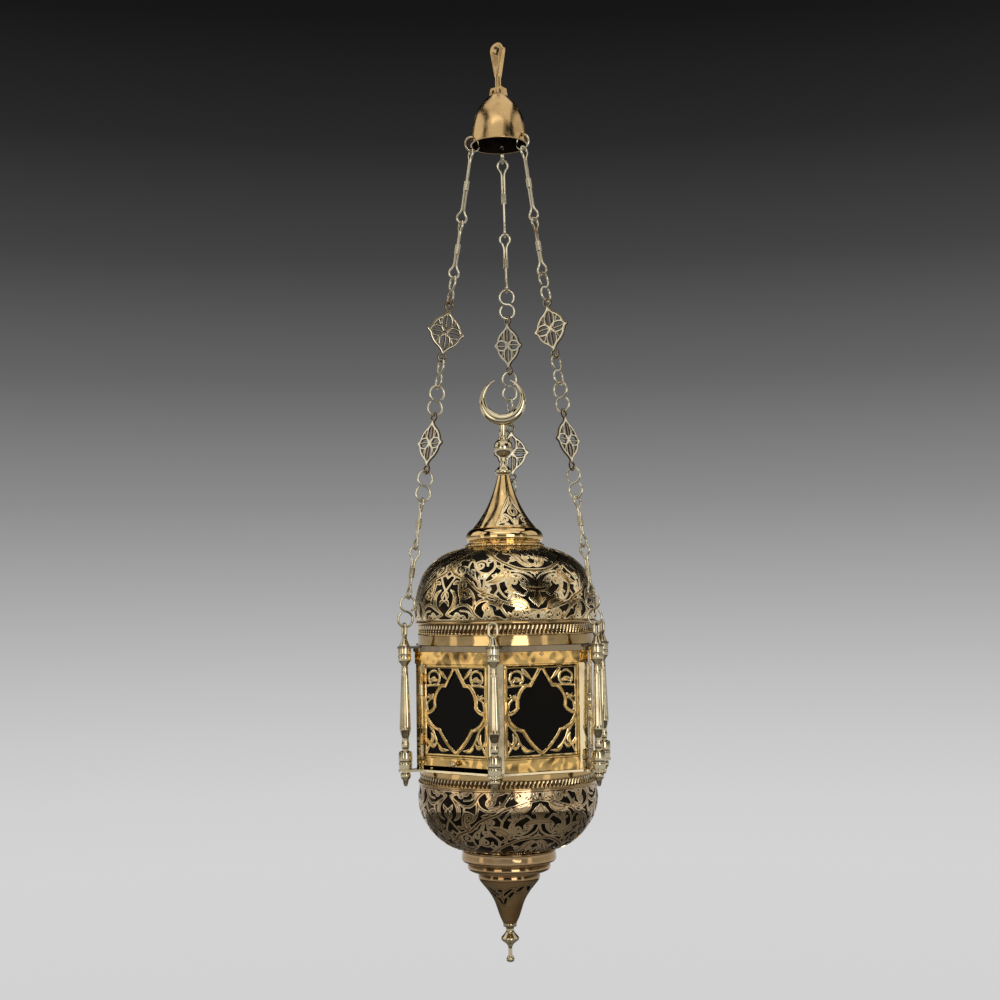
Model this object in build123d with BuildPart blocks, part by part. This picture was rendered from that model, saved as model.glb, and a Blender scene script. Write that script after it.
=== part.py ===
from build123d import *
from math import atan2, cos, hypot, radians, sin, sqrt, tan
import os

# All lengths are in millimetres and all angles in degrees.
# The origin is the centre of the hanging eye's bore, +Z is up and -Y is the door's side.
# An azimuth is counted from -Y towards +X.

# Fits shared by the whole lantern
running_clearance = 0.05
seat_clearance = 0.3
cut_overrun = 2.0

# Forged hanging eye with its swivel shank
eye_bore_radius = 5.0
eye_wall = 4.8
eye_thickness = 7.0
eye_length = 31.5
eye_slot_width = 5.4
eye_slot_length = 17.0
eye_edge_round = 1.4
shank_radius = 3.7
shank_length = 15.1
washer_radius = 5.4
washer_thickness = 1.8
head_radius = 4.9
head_height = 1.8

# Stirrup that carries the bell on the swivel
stirrup_height = 12.5
stirrup_top_half = 9.2
stirrup_foot_half = 11.4
strap_thickness = 3.0
strap_width = 8.0
strap_round = 2.4
tenon_radius = 1.3
tenon_head_radius = 1.8
tenon_head_height = 1.0

# Bell canopy with three ring holes near its rim
bell_radius = 34.9
bell_height = 59.5
bell_wall = 1.5
bell_shares = [(1.0, 0.0), (0.986, 0.16), (0.883, 0.514), (0.688, 0.783), (0.387, 1.0)]
ring_hole_rise = 6.6

# Chains: one wire gauge, three chains of rings, wrapped links, S links and plaques
wire_radius = 1.3
chain_ring_radius = 8.9
suspension_drop = 592.5
column_circle = 129.0
first_wrapped_length = 94.0
second_wrapped_length = 72.0
lower_wrapped_length = 61.0
wrapped_loop_radius = 6.2
wrapped_bend_radius = 14.0
strand_gap = 0.3
collar_length = 13.0
collar_radius = 3.1
link_count = 12
s_link_count = 5
s_link_sweep = 318.0
plaque_length = 73.0
plaque_half_width = 23.0
plaque_half_height = 26.0
plaque_bulge = 2.2
plaque_thickness = 2.4
plaque_band = 2.6
plaque_border_share = 0.17
plaque_eye_radius = 4.9
plaque_heart_radius = 7.5
plaque_petal_radius = 4.6
plaque_petal_share = 0.52
chain_names = ["left", "right", "rear"]
chain_azimuths = [-30.0, 90.0, 210.0]
chain_twists = [0.0, 0.0, 46.0]
plaque_turns = [(0.0, 106.0), (0.0, 90.0), (32.0, 90.0)]

# Drum: hexagonal plates, corner posts, panels, panes and the door
side_count = 6
drum_radius = 115.0
drum_height = 139.5
plate_thickness = 2.5
upper_rim_drop = 18.0
upper_rim_wall = 1.2
upper_edge_height = 6.5
upper_edge_lip = 1.5
dome_hole_radius = 82.0
lower_plate_lip = 3.4
light_hole_circle = 62.0
light_hole_length = 44.0
light_hole_width = 16.0
ear_radius = 8.4
post_wing = 10.0
post_wall = 1.2
panel_thickness = 1.5
pane_thickness = 2.0
pane_lap = 3.0
panel_corner_gap = 0.4
pierced_width = 84.0
pierced_height = 97.5
pierced_rise = 19.0
window_band = 4.2
scroll_width = 2.2
window_step_width_share = 0.30
window_step_height_share = 0.775
shoulder_width_share = 0.44
shoulder_mid_shares = (0.60, 0.70)
waist_shares = (0.65, 0.545)
flare_mid_shares = (0.745, 0.495)
side_point_shares = (0.955, 0.455)
belly_mid_shares = (0.79, 0.35)
lower_step_shares = (0.52, 0.30)
lower_knee_shares = (0.47, 0.265)
foot_mid_shares = (0.31, 0.125)
foot_point_share = 0.045
crown_point_share = 0.985
volute_radius = 8.6
volute_shares = (0.81, 0.92)
curl_radius = 4.4
curl_drop = 3.4
twig_shares = [((1.02, 0.66), (0.83, 0.63), (0.62, 0.70)), ((0.56, 1.02), (0.44, 0.93), (0.22, 0.86))]
sprig_shares = [
    ((1.02, 0.03), (0.80, 0.14), (0.60, 0.30)),
    ((1.02, 0.18), (0.90, 0.14), (0.80, 0.14)),
    ((0.62, -0.02), (0.70, 0.10), (0.80, 0.14)),
]
panel_rivet_radius = 1.6
panel_rivet_head = 2.3
panel_rivet_dome = 1.2
panel_rivet_drop = 6.8

# Door, hinges and knob
door_side_gap = 0.4
door_top_gap = 0.5
door_bottom_gap = 5.0
knuckle_radius = 2.0
hinge_pin_radius = 1.0
knuckle_length = 12.0
hinge_rise_share = 0.2
hinge_leaf_length = 6.0
hinge_leaf_thickness = 1.0
pin_head_radius = 1.7
pin_head_height = 1.0
knob_radius = 3.6
knob_length = 8.0
knob_shares = [(0.45, 0.0), (0.45, 0.35), (1.0, 0.62), (0.8, 0.9), (0.0, 1.0)]
knob_rise = 3.6

# Columns with their eye nuts and drop nuts
column_radius = 8.0
column_upper_shares = [
    (0.95, 0.0), (0.95, 0.052), (0.89, 0.056), (0.89, 0.060), (0.95, 0.064), (0.95, 0.104),
    (0.72, 0.118), (0.39, 0.147), (0.48, 0.155), (0.48, 0.193), (0.42, 0.197),
]
column_lower_shares = [
    (0.70, 0.670), (0.70, 0.700), (0.50, 0.742), (0.50, 0.772), (0.57, 0.785), (0.57, 0.815),
    (0.48, 0.830), (0.48, 0.845), (1.0, 0.856), (1.0, 0.930), (0.93, 0.936), (0.93, 0.944),
    (1.0, 0.950), (0.90, 1.0),
]
reed_count = 12
reed_top_radius = 4.0
reed_foot_radius = 6.6
stud_radius = 2.6
stud_length = 6.0
nut_flare_height = 10.0
nut_flare_radius = 6.2
nut_neck_radius = 2.7
nut_eye_height = 17.6
nut_eye_half_width = 6.5
nut_eye_wire = 1.8
drop_nut_height = 17.0
drop_nut_radius = 5.9
drop_nut_shares = [
    (0.78, 0.0), (0.78, 0.08), (1.0, 0.14), (1.0, 0.40), (0.62, 0.52), (0.5, 0.75), (0.3, 0.96),
]

# Dome, its band, the spire and the crescent finial
dome_band_height = 28.5
dome_band_radius = 105.0
bead_height = 4.0
bead_radius = 109.4
band_wall = 1.6
band_foot_width = 12.0
sheet_wall = 1.4
dome_radius = 109.7
dome_height = 87.5
dome_shares = [
    (0.982, 0.0), (1.0, 0.149), (0.968, 0.394), (0.892, 0.646), (0.772, 0.815), (0.619, 0.931), (0.42, 1.0),
]
spire_ring_radius = 49.3
spire_ring_height = 22.0
spire_ring_shares = [
    (0.86, 0.0), (1.0, 0.0), (1.0, 0.14), (0.91, 0.22), (0.93, 0.52), (0.88, 0.80), (0.79, 1.0), (0.68, 1.0),
]
spire_radius = 38.5
spire_height = 64.0
spire_shares = [(1.0, 0.0), (0.72, 0.175), (0.50, 0.37), (0.392, 0.51), (0.28, 0.76), (0.19, 1.0)]
finial_radius = 10.9
finial_height = 61.0
finial_shares = [
    (0.70, 0.0), (1.0, 0.05), (1.0, 0.09), (0.62, 0.17), (0.30, 0.27), (0.30, 0.40), (0.62, 0.44),
    (0.96, 0.51), (0.96, 0.60), (0.66, 0.71), (0.66, 0.76), (0.46, 0.80), (0.44, 0.94), (0.50, 1.0),
]
spigot_length = 8.0
peg_radius = 2.2
peg_length = 7.0
crescent_radius = 28.5
crescent_inner_radius = 21.0
crescent_rise = 6.4
crescent_horn_angle = 148.0
crescent_depth_share = 0.62
crescent_tip = 0.9
crescent_section_count = 9
crescent_azimuth = 30.0

# Bowl, its band, the collar, the lower spire and the drop finial
bowl_band_height = 17.0
bowl_band_radius = 104.4
bowl_radius = 106.7
bowl_height = 79.0
bowl_shares = [
    (0.984, 0.0), (0.9925, 0.133), (1.0, 0.234), (0.9466, 0.538), (0.801, 0.804), (0.66, 0.940), (0.50, 1.0),
]
bowl_collar_radius = 56.3
bowl_collar_height = 27.5
bowl_collar_shares = [
    (0.88, 0.0), (1.0, 0.0), (1.0, 0.52), (0.875, 0.60), (0.875, 0.86), (0.66, 1.0), (0.58, 1.0),
]
lower_spire_radius = 36.7
lower_spire_height = 60.0
lower_spire_shares = [(0.97, 0.0), (1.0, 0.10), (0.85, 0.25), (0.474, 0.60), (0.30, 0.90), (0.22, 1.0)]
drop_finial_radius = 10.9
drop_finial_height = 46.0
drop_finial_shares = [
    (0.74, 0.0), (0.74, 0.06), (0.42, 0.10), (0.42, 0.22), (1.0, 0.38), (1.0, 0.42),
    (0.40, 0.52), (0.24, 0.58), (0.24, 0.82), (0.46, 0.90), (0.40, 0.97), (0.0, 1.0),
]

# Openwork of the dome, the bowl and the spires
sector_count = 12
wide_row_count = 2
large_leaf_height = 32.0
large_leaf_width = 16.0
comma_height = 24.0
comma_width = 9.0
comma_azimuth = 8.5
small_leaf_height = 20.0
small_leaf_width = 9.0
cut_depth = 7.0
dome_row_shares = [0.20, 0.52, 0.80]
bowl_row_shares = [0.22, 0.58, 0.84]
spire_leaf_height = 15.0
spire_leaf_width = 7.0
spire_leaf_count = 6
spire_row_shares = [0.22, 0.42]
lower_spire_row_share = 0.36

# Candle holder inside the drum
pan_radius = 30.0
pan_height = 7.0
pan_wall = 1.2
pan_floor_share = 0.8
socket_radius = 12.6
socket_wall = 1.2
socket_height = 24.0

# Rivets that hold the bands to the plates
band_rivet_radius = 1.8
band_rivet_head = 3.2
band_rivet_cap = 1.4

# Levels worked out from the sizes above
stirrup_top = -(eye_length + shank_length)
bell_top = stirrup_top - stirrup_height
bell_rim = bell_top - bell_height
ring_hole_radius = wire_radius + 4 * seat_clearance
ring_hole_level = bell_rim + ring_hole_rise
ring_hole_circle = bell_radius - bell_wall / 2
wire_diameter = 2 * wire_radius
link_lap = wire_diameter + seat_clearance
chain_top = ring_hole_level - seat_clearance
chain_foot = ring_hole_level - suspension_drop
nut_eye_top = chain_foot + wire_radius + seat_clearance + 2 * nut_eye_wire
upper_plate_top = nut_eye_top - nut_eye_height - nut_flare_height
upper_plate_foot = upper_plate_top - plate_thickness
lower_plate_top = upper_plate_foot - drum_height
lower_plate_foot = lower_plate_top - plate_thickness
band_top = upper_plate_top + dome_band_height
dome_top = band_top + dome_height
spire_foot = dome_top + spire_ring_height
spire_top = spire_foot + spire_height
finial_top = spire_top + finial_height
bowl_band_foot = lower_plate_foot - bowl_band_height
bowl_foot = bowl_band_foot - bowl_height
collar_foot = bowl_foot - bowl_collar_height
lower_spire_foot = collar_foot - lower_spire_height
flat_share = cos(radians(180 / side_count))
post_apothem = drum_radius * flat_share
rim_inner_radius = drum_radius + running_clearance / flat_share
upper_plate_radius = rim_inner_radius + upper_rim_wall / flat_share
rim_outer_apothem = upper_plate_radius * flat_share
upper_edge_radius = upper_plate_radius + upper_edge_lip / flat_share
rivet_level = upper_plate_foot - panel_rivet_drop
panel_outer_apothem = post_apothem - post_wall
panel_inner_apothem = panel_outer_apothem - panel_thickness
panel_width = 2 * panel_inner_apothem * tan(radians(180 / side_count)) - panel_corner_gap
column_azimuths = [360 / side_count * (k - 0.5) for k in range(side_count)]
panel_azimuths = [360 / side_count * k for k in range(side_count)]
band_rivet_circle = min(dome_band_radius, bowl_band_radius) - band_wall - band_foot_width / 2
up = Vector(0, 0, 1)

os.makedirs("parts", exist_ok=True)


def outward(azimuth):
    """Horizontal direction away from the axis."""
    return Vector(sin(radians(azimuth)), -cos(radians(azimuth)), 0)


def sideways(azimuth):
    """Horizontal direction to the right, seen from outside."""
    return Vector(cos(radians(azimuth)), sin(radians(azimuth)), 0)


def save(builder, name):
    """Label a finished piece and write it."""
    builder.part.label = name
    export_step(builder.part, f"parts/{name}.step")


def turned_points(shares, radius, foot, height):
    """Points (r, z) of a turned outline; a height share counts from the foot, along the height."""
    return [(radius * r_share, foot + height * h_share) for r_share, h_share in shares]


def inset_points(points, wall):
    """The same outline moved by the wall towards its left side."""
    moved = []
    for k, (r, z) in enumerate(points):
        before = points[max(k - 1, 0)]
        after = points[min(k + 1, len(points) - 1)]
        run_r = after[0] - before[0]
        run_z = after[1] - before[1]
        run = hypot(run_r, run_z)
        moved.append((r - wall * run_z / run, z + wall * run_r / run))
    return moved


def spun_face(outer_points, inner_points):
    """Half section of a spun sheet between two smooth outlines."""
    with BuildLine() as outline:
        outer = Spline(*outer_points)
        inner = Spline(*inner_points)
        Line(outer @ 0, inner @ 0)
        Line(outer @ 1, inner @ 1)
    make_face(outline.edges())


def turned_face(points):
    """Half section of a solid turned piece, closed on the axis."""
    (first_r, first_z), (last_r, last_z) = points[0], points[-1]
    outline = list(points)
    if last_r > 0:
        outline.append((0, last_z))
    if first_r > 0:
        outline.append((0, first_z))
    with BuildLine() as border:
        Polyline(*outline, close=True)
    make_face(border.edges())


def facing_plane(azimuth, radius, level):
    """Upright plane that looks outward: X to the right, Y up."""
    return Plane(
        origin=outward(azimuth) * radius + up * level,
        x_dir=sideways(azimuth),
        z_dir=outward(azimuth),
    )


def skin_planes(points, share, count, first_azimuth):
    """Planes that lie on a spun sheet at one height, all round."""
    meridian = Spline(*points)
    place = meridian @ share
    run = meridian % share
    lean = Vector(run.Y, -run.X, 0)
    if lean.X < 0:
        lean = -lean
    planes = []
    for k in range(count):
        azimuth = first_azimuth + 360 / count * k
        planes.append(
            Plane(
                origin=outward(azimuth) * place.X + up * place.Y,
                x_dir=sideways(azimuth),
                z_dir=outward(azimuth) * lean.X + up * lean.Y,
            )
        )
    return planes


def leaf_face(width, height):
    """Pointed leaf on the sketch's own Y axis."""
    with BuildLine() as outline:
        ThreePointArc((0, -height / 2), (width / 2, 0), (0, height / 2))
        ThreePointArc((0, height / 2), (-width / 2, 0), (0, -height / 2))
    make_face(outline.edges())


def comma_face(width, height, hand):
    """Curled half leaf, bent to one hand."""
    tip = (hand * width, height / 2)
    with BuildLine() as outline:
        ThreePointArc((0, -height / 2), (-hand * width / 2, 0), tip)
        ThreePointArc(tip, (hand * width / 2, -height / 4), (0, -height / 2))
    make_face(outline.edges())


# Chain frame: the straight line from a bell hole to a column eye
chain_run = column_circle - ring_hole_circle
chain_fall = chain_top - chain_foot
chain_length = hypot(chain_run, chain_fall)
chain_tilt = atan2(chain_run, chain_fall)
wrapped_total = first_wrapped_length + second_wrapped_length + 2 * lower_wrapped_length
fixed_total = 2 * chain_ring_radius + wrapped_total + 2 * plaque_length
s_link_radius = (chain_length + (link_count - 1) * link_lap - fixed_total) / (4 * s_link_count)


def link_places(twist, upper_plaque_turn, lower_plaque_turn):
    """Kind, start, length and loop turns of each link; a twist grows evenly down the chain."""
    chain_links = [
        ("ring", 2 * chain_ring_radius, 0, 0),
        ("wrapped", first_wrapped_length, 90, 0),
        ("wrapped", second_wrapped_length, 90, 0),
        ("s", 4 * s_link_radius, 90, 90),
        ("plaque", plaque_length, upper_plaque_turn, upper_plaque_turn),
        ("s", 4 * s_link_radius, 90, 90),
        ("s", 4 * s_link_radius, 0, 0),
        ("plaque", plaque_length, lower_plaque_turn, lower_plaque_turn),
        ("s", 4 * s_link_radius, 0, 0),
        ("wrapped", lower_wrapped_length, 90, 90),
        ("wrapped", lower_wrapped_length, 0, 90),
        ("s", 4 * s_link_radius, 0, 0),
    ]
    places = []
    start = 0
    for kind, length, upper_turn, lower_turn in chain_links:
        upper = upper_turn + twist * start / chain_length
        lower = lower_turn + twist * (start + length) / chain_length
        places.append((kind, start, length, upper, lower))
        start = start + length - link_lap
    return places


def loop_plane(azimuth, distance, turn, sense):
    """Plane of a link's loop: X across the loop, Y along the chain, downwards for sense 1."""
    down = outward(azimuth) * sin(chain_tilt) - up * cos(chain_tilt)
    level = outward(azimuth) * cos(chain_tilt) + up * sin(chain_tilt)
    across = level * cos(radians(turn)) + sideways(azimuth) * sin(radians(turn))
    start = outward(azimuth) * ring_hole_circle + up * chain_top
    return Plane(origin=start + down * distance, x_dir=across, z_dir=across.cross(down * sense))


def drop_loop(plane, strand_end):
    """Drop-shaped wire loop whose two strands run side by side to the wrapped collar."""
    strand = wire_radius + strand_gap / 2
    bend_x = strand + wrapped_bend_radius
    reach = wrapped_bend_radius + wrapped_loop_radius
    bend_y = wrapped_loop_radius + sqrt(reach**2 - bend_x**2)
    half_turn = atan2(bend_y - wrapped_loop_radius, bend_x) / 2
    mid_x = bend_x - wrapped_bend_radius * cos(half_turn)
    mid_y = bend_y - wrapped_bend_radius * sin(half_turn)
    touch_x = bend_x - wrapped_bend_radius * cos(2 * half_turn)
    touch_y = bend_y - wrapped_bend_radius * sin(2 * half_turn)
    with BuildLine(plane) as wire:
        Line((strand, strand_end), (strand, bend_y))
        ThreePointArc((strand, bend_y), (mid_x, mid_y), (touch_x, touch_y))
        ThreePointArc((touch_x, touch_y), (0, 0), (-touch_x, touch_y))
        ThreePointArc((-touch_x, touch_y), (-mid_x, mid_y), (-strand, bend_y))
        Line((-strand, bend_y), (-strand, strand_end))
    with BuildSketch(Plane(origin=wire.line @ 0, z_dir=wire.line % 0)) as section:
        Circle(wire_radius)
    sweep(section.sketch, path=wire.line)


def s_wire(plane):
    """S-shaped link of two open loops, one above the other."""
    with BuildLine(plane) as wire:
        CenterArc((0, s_link_radius), s_link_radius, 90 - s_link_sweep, s_link_sweep)
        CenterArc((0, 3 * s_link_radius), s_link_radius, 270, -s_link_sweep)
    with BuildSketch(Plane(origin=wire.line @ 0, z_dir=wire.line % 0)) as section:
        Circle(wire_radius)
    sweep(section.sketch, path=wire.line)


def plaque_outline(half_width, half_height, bulge):
    """Lozenge with slightly bulging sides."""
    corners = [(half_width, 0), (0, half_height), (-half_width, 0), (0, -half_height)]
    with BuildLine() as outline:
        for k, (x, y) in enumerate(corners):
            next_x, next_y = corners[(k + 1) % len(corners)]
            SagittaArc((x, y), (next_x, next_y), -bulge)
    make_face(outline.edges())


def plaque_solid(plane):
    """Openwork lozenge between two eyes, cut from thick sheet."""
    band_half = plaque_band / 2
    eye_level = plaque_length / 2 - plaque_eye_radius
    with BuildSketch(plane.offset(-plaque_thickness / 2)) as face:
        plaque_outline(plaque_half_width, plaque_half_height, plaque_bulge)
        plaque_inner_share = 1 - plaque_border_share
        with BuildSketch(mode=Mode.SUBTRACT):
            plaque_outline(
                plaque_half_width * plaque_inner_share,
                plaque_half_height * plaque_inner_share,
                plaque_bulge * plaque_inner_share,
            )
        Rectangle(2 * plaque_half_width - plaque_band, plaque_band)
        Rectangle(plaque_band, 2 * plaque_half_height - plaque_band)
        petal_x = plaque_half_width * plaque_petal_share / sqrt(2)
        petal_y = plaque_half_height * plaque_petal_share / sqrt(2)
        petals = [(petal_x, petal_y), (-petal_x, petal_y), (petal_x, -petal_y), (-petal_x, -petal_y)]
        with Locations(*petals):
            Circle(plaque_petal_radius + band_half)
        with Locations((0, eye_level), (0, -eye_level)):
            Circle(plaque_eye_radius + band_half)
        Circle(plaque_heart_radius + band_half)
        with Locations(*petals):
            Circle(plaque_petal_radius - band_half, mode=Mode.SUBTRACT)
        Circle(plaque_heart_radius - band_half, mode=Mode.SUBTRACT)
        with Locations((0, eye_level), (0, -eye_level)):
            Circle(plaque_eye_radius - band_half, mode=Mode.SUBTRACT)
    extrude(face.sketch, amount=plaque_thickness)


# Hanging eye: forged teardrop with a round bore, a slot below it and the swivel shank
eye_radius = eye_bore_radius + eye_wall
washer_top = stirrup_top - strap_thickness - seat_clearance
head_top = washer_top - washer_thickness
head_foot = head_top - head_height
with BuildPart() as hanging_eye:
    with BuildSketch(Plane.XZ):
        Circle(eye_radius)
        with Locations((0, -eye_length)):
            Circle(shank_radius)
        make_hull()
    extrude(amount=eye_thickness / 2, both=True)
    fillet(hanging_eye.faces().filter_by(Axis.Y).edges(), eye_edge_round)
    with BuildSketch(Plane.XZ):
        Circle(eye_bore_radius)
        with Locations((0, -eye_slot_length / 2)):
            SlotCenterToCenter(eye_slot_length, eye_slot_width, rotation=90)
    extrude(amount=eye_thickness, both=True, mode=Mode.SUBTRACT)
    with BuildSketch(Plane.XY.offset(head_foot)):
        Circle(shank_radius)
    extrude(amount=-eye_length - head_foot)
    with BuildSketch(Plane.XY.offset(head_foot)):
        Circle(head_radius)
    extrude(amount=head_height)
save(hanging_eye, "hanging_eye")

with BuildPart() as swivel_washer:
    with BuildSketch(Plane.XY.offset(head_top)):
        Circle(washer_radius)
        Circle(shank_radius + running_clearance, mode=Mode.SUBTRACT)
    extrude(amount=washer_thickness)
save(swivel_washer, "swivel_washer")

# Stirrup: bent strap with two tenons peened over inside the bell
tenon_place = stirrup_foot_half - strap_thickness / 2
with BuildPart() as stirrup:
    with BuildSketch(Plane.XZ):
        Polygon(
            (-stirrup_foot_half, bell_top),
            (stirrup_foot_half, bell_top),
            (stirrup_top_half, stirrup_top),
            (-stirrup_top_half, stirrup_top),
            align=None,
        )
        fillet(vertices().group_by(Axis.Y)[-1], strap_round)
        Polygon(
            (-stirrup_foot_half + strap_thickness, bell_top),
            (stirrup_foot_half - strap_thickness, bell_top),
            (stirrup_top_half - strap_thickness, stirrup_top - strap_thickness),
            (-stirrup_top_half + strap_thickness, stirrup_top - strap_thickness),
            align=None,
            mode=Mode.SUBTRACT,
        )
    extrude(amount=strap_width / 2, both=True)
    with BuildSketch(Plane.XY.offset(stirrup_top)):
        Circle(shank_radius + running_clearance)
    extrude(amount=-strap_thickness, mode=Mode.SUBTRACT)
    with BuildSketch(Plane.XY.offset(bell_top)):
        with Locations((tenon_place, 0), (-tenon_place, 0)):
            Circle(tenon_radius)
    extrude(amount=-bell_wall - tenon_head_height)
    with BuildSketch(Plane.XY.offset(bell_top - bell_wall)):
        with Locations((tenon_place, 0), (-tenon_place, 0)):
            Circle(tenon_head_radius)
    extrude(amount=-tenon_head_height)
save(stirrup, "stirrup")

# Bell: spun canopy with a flat crown
bell_points = turned_points(bell_shares, bell_radius, bell_rim, bell_height)
bell_inner_points = [(r - bell_wall, z) for r, z in bell_points[:-1]]
bell_inner_points.append((bell_points[-1][0] - bell_wall, bell_top - bell_wall))
with BuildPart() as bell:
    with BuildSketch(Plane.XZ):
        with BuildLine():
            bell_outer = Spline(*bell_points)
            bell_inner = Spline(*bell_inner_points)
            Line(bell_outer @ 0, bell_inner @ 0)
            Polyline(bell_outer @ 1, (0, bell_top), (0, bell_top - bell_wall), bell_inner @ 1)
        make_face()
    revolve(axis=Axis.Z)
    with BuildSketch(*[facing_plane(azimuth, 0, ring_hole_level) for azimuth in chain_azimuths]):
        Circle(ring_hole_radius)
    extrude(amount=bell_radius + cut_overrun, mode=Mode.SUBTRACT)
    with BuildSketch(Plane.XY.offset(bell_top)):
        with Locations((tenon_place, 0), (-tenon_place, 0)):
            Circle(tenon_radius + running_clearance)
    extrude(amount=-bell_wall, mode=Mode.SUBTRACT)
save(bell, "bell")

# Three chains
for number, chain_name in enumerate(chain_names):
    chain_azimuth = chain_azimuths[number]
    places = link_places(chain_twists[number], *plaque_turns[number])
    with BuildPart() as chain_ring:
        with Locations(loop_plane(chain_azimuth, chain_ring_radius, 0, 1)):
            Torus(chain_ring_radius, wire_radius)
    save(chain_ring, f"chain_{chain_name}_ring")

    with BuildPart() as wrapped_links:
        for kind, start, length, upper, lower in places:
            if kind == "wrapped":
                drop_loop(loop_plane(chain_azimuth, start, upper, 1), length / 2 - strand_gap)
                drop_loop(loop_plane(chain_azimuth, start + length, lower, -1), length / 2 - strand_gap)
                collar_plane = loop_plane(chain_azimuth, start + length / 2, upper, 1)
                with Locations(Plane(origin=collar_plane.origin, z_dir=collar_plane.y_dir)):
                    Cylinder(collar_radius, collar_length)
    save(wrapped_links, f"chain_{chain_name}_wrapped_links")

    with BuildPart() as s_links:
        for kind, start, length, upper, lower in places:
            if kind == "s":
                s_wire(loop_plane(chain_azimuth, start, (upper + lower) / 2, 1))
    save(s_links, f"chain_{chain_name}_s_links")

    plaque_places = [place for place in places if place[0] == "plaque"]
    for position, (kind, start, length, upper, lower) in zip(["upper", "lower"], plaque_places):
        with BuildPart() as plaque:
            plaque_solid(loop_plane(chain_azimuth, start + length / 2, (upper + lower) / 2, 1))
        save(plaque, f"chain_{chain_name}_{position}_plaque")

# Upper plate: folded hexagonal cap with ears for the columns and an open middle for the dome
with BuildPart() as upper_plate:
    with BuildSketch(Plane.XY.offset(upper_plate_foot)):
        RegularPolygon(upper_plate_radius, side_count)
        for azimuth in column_azimuths:
            ear = outward(azimuth)
            with Locations(tuple(ear * (column_circle / 2))[:2]):
                Rectangle(column_circle, 2 * ear_radius, rotation=azimuth - 90)
            with Locations(tuple(ear * column_circle)[:2]):
                Circle(ear_radius)
        Circle(dome_hole_radius, mode=Mode.SUBTRACT)
        with PolarLocations(column_circle, side_count):
            Circle(stud_radius + running_clearance, mode=Mode.SUBTRACT)
    extrude(amount=plate_thickness)
    with BuildSketch(Plane.XY.offset(upper_plate_foot)):
        RegularPolygon(upper_plate_radius, side_count)
        RegularPolygon(rim_inner_radius, side_count, mode=Mode.SUBTRACT)
    extrude(amount=-upper_rim_drop)
    with BuildSketch(Plane.XY.offset(upper_plate_top)):
        RegularPolygon(upper_edge_radius, side_count)
        RegularPolygon(rim_inner_radius, side_count, mode=Mode.SUBTRACT)
    extrude(amount=-upper_edge_height)
    with BuildSketch(*[facing_plane(azimuth, post_apothem, rivet_level) for azimuth in panel_azimuths[1:]]):
        Circle(panel_rivet_radius + running_clearance)
    extrude(amount=upper_rim_wall + cut_overrun, mode=Mode.SUBTRACT)
    with BuildSketch(Plane.XY.offset(upper_plate_foot)):
        with PolarLocations(band_rivet_circle, side_count):
            Circle(band_rivet_radius + running_clearance)
    extrude(amount=plate_thickness, mode=Mode.SUBTRACT)
save(upper_plate, "upper_plate")

# Lower plate: hexagonal floor with ears and long light holes
with BuildPart() as lower_plate:
    with BuildSketch(Plane.XY.offset(lower_plate_foot)):
        RegularPolygon(drum_radius + lower_plate_lip, side_count)
        for azimuth in column_azimuths:
            ear = outward(azimuth)
            with Locations(tuple(ear * (column_circle / 2))[:2]):
                Rectangle(column_circle, 2 * ear_radius, rotation=azimuth - 90)
            with Locations(tuple(ear * column_circle)[:2]):
                Circle(ear_radius)
        with PolarLocations(light_hole_circle, side_count, start_angle=180 / side_count):
            SlotOverall(light_hole_length, light_hole_width, rotation=90, mode=Mode.SUBTRACT)
        with PolarLocations(column_circle, side_count):
            Circle(stud_radius + running_clearance, mode=Mode.SUBTRACT)
        with PolarLocations(band_rivet_circle, side_count):
            Circle(band_rivet_radius + running_clearance, mode=Mode.SUBTRACT)
    extrude(amount=plate_thickness)
save(lower_plate, "lower_plate")

# Columns: turned posts with a reeded shaft and a stud at each end
reed_top = upper_plate_foot - drum_height * column_upper_shares[-1][1]
reed_foot = upper_plate_foot - drum_height * column_lower_shares[0][1]
for number, azimuth in enumerate(column_azimuths, 1):
    place = outward(azimuth) * column_circle
    column_axis = Axis(tuple(place), (0, 0, 1))
    with BuildPart() as column:
        with BuildSketch(Plane(origin=place, x_dir=outward(azimuth), z_dir=-sideways(azimuth))):
            turned_face(turned_points(column_upper_shares, column_radius, upper_plate_foot, -drum_height))
            turned_face(turned_points(column_lower_shares, column_radius, upper_plate_foot, -drum_height))
        revolve(axis=column_axis)
        with BuildSketch(Plane(origin=place + up * reed_top)):
            RegularPolygon(reed_top_radius, reed_count)
        with BuildSketch(Plane(origin=place + up * reed_foot)):
            RegularPolygon(reed_foot_radius, reed_count)
        loft(ruled=True)
        with BuildSketch(Plane(origin=place + up * upper_plate_foot)):
            Circle(stud_radius)
        extrude(amount=plate_thickness + stud_length)
        with BuildSketch(Plane(origin=place + up * lower_plate_top)):
            Circle(stud_radius)
        extrude(amount=-plate_thickness - stud_length)
    save(column, f"column_{number}")

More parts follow.
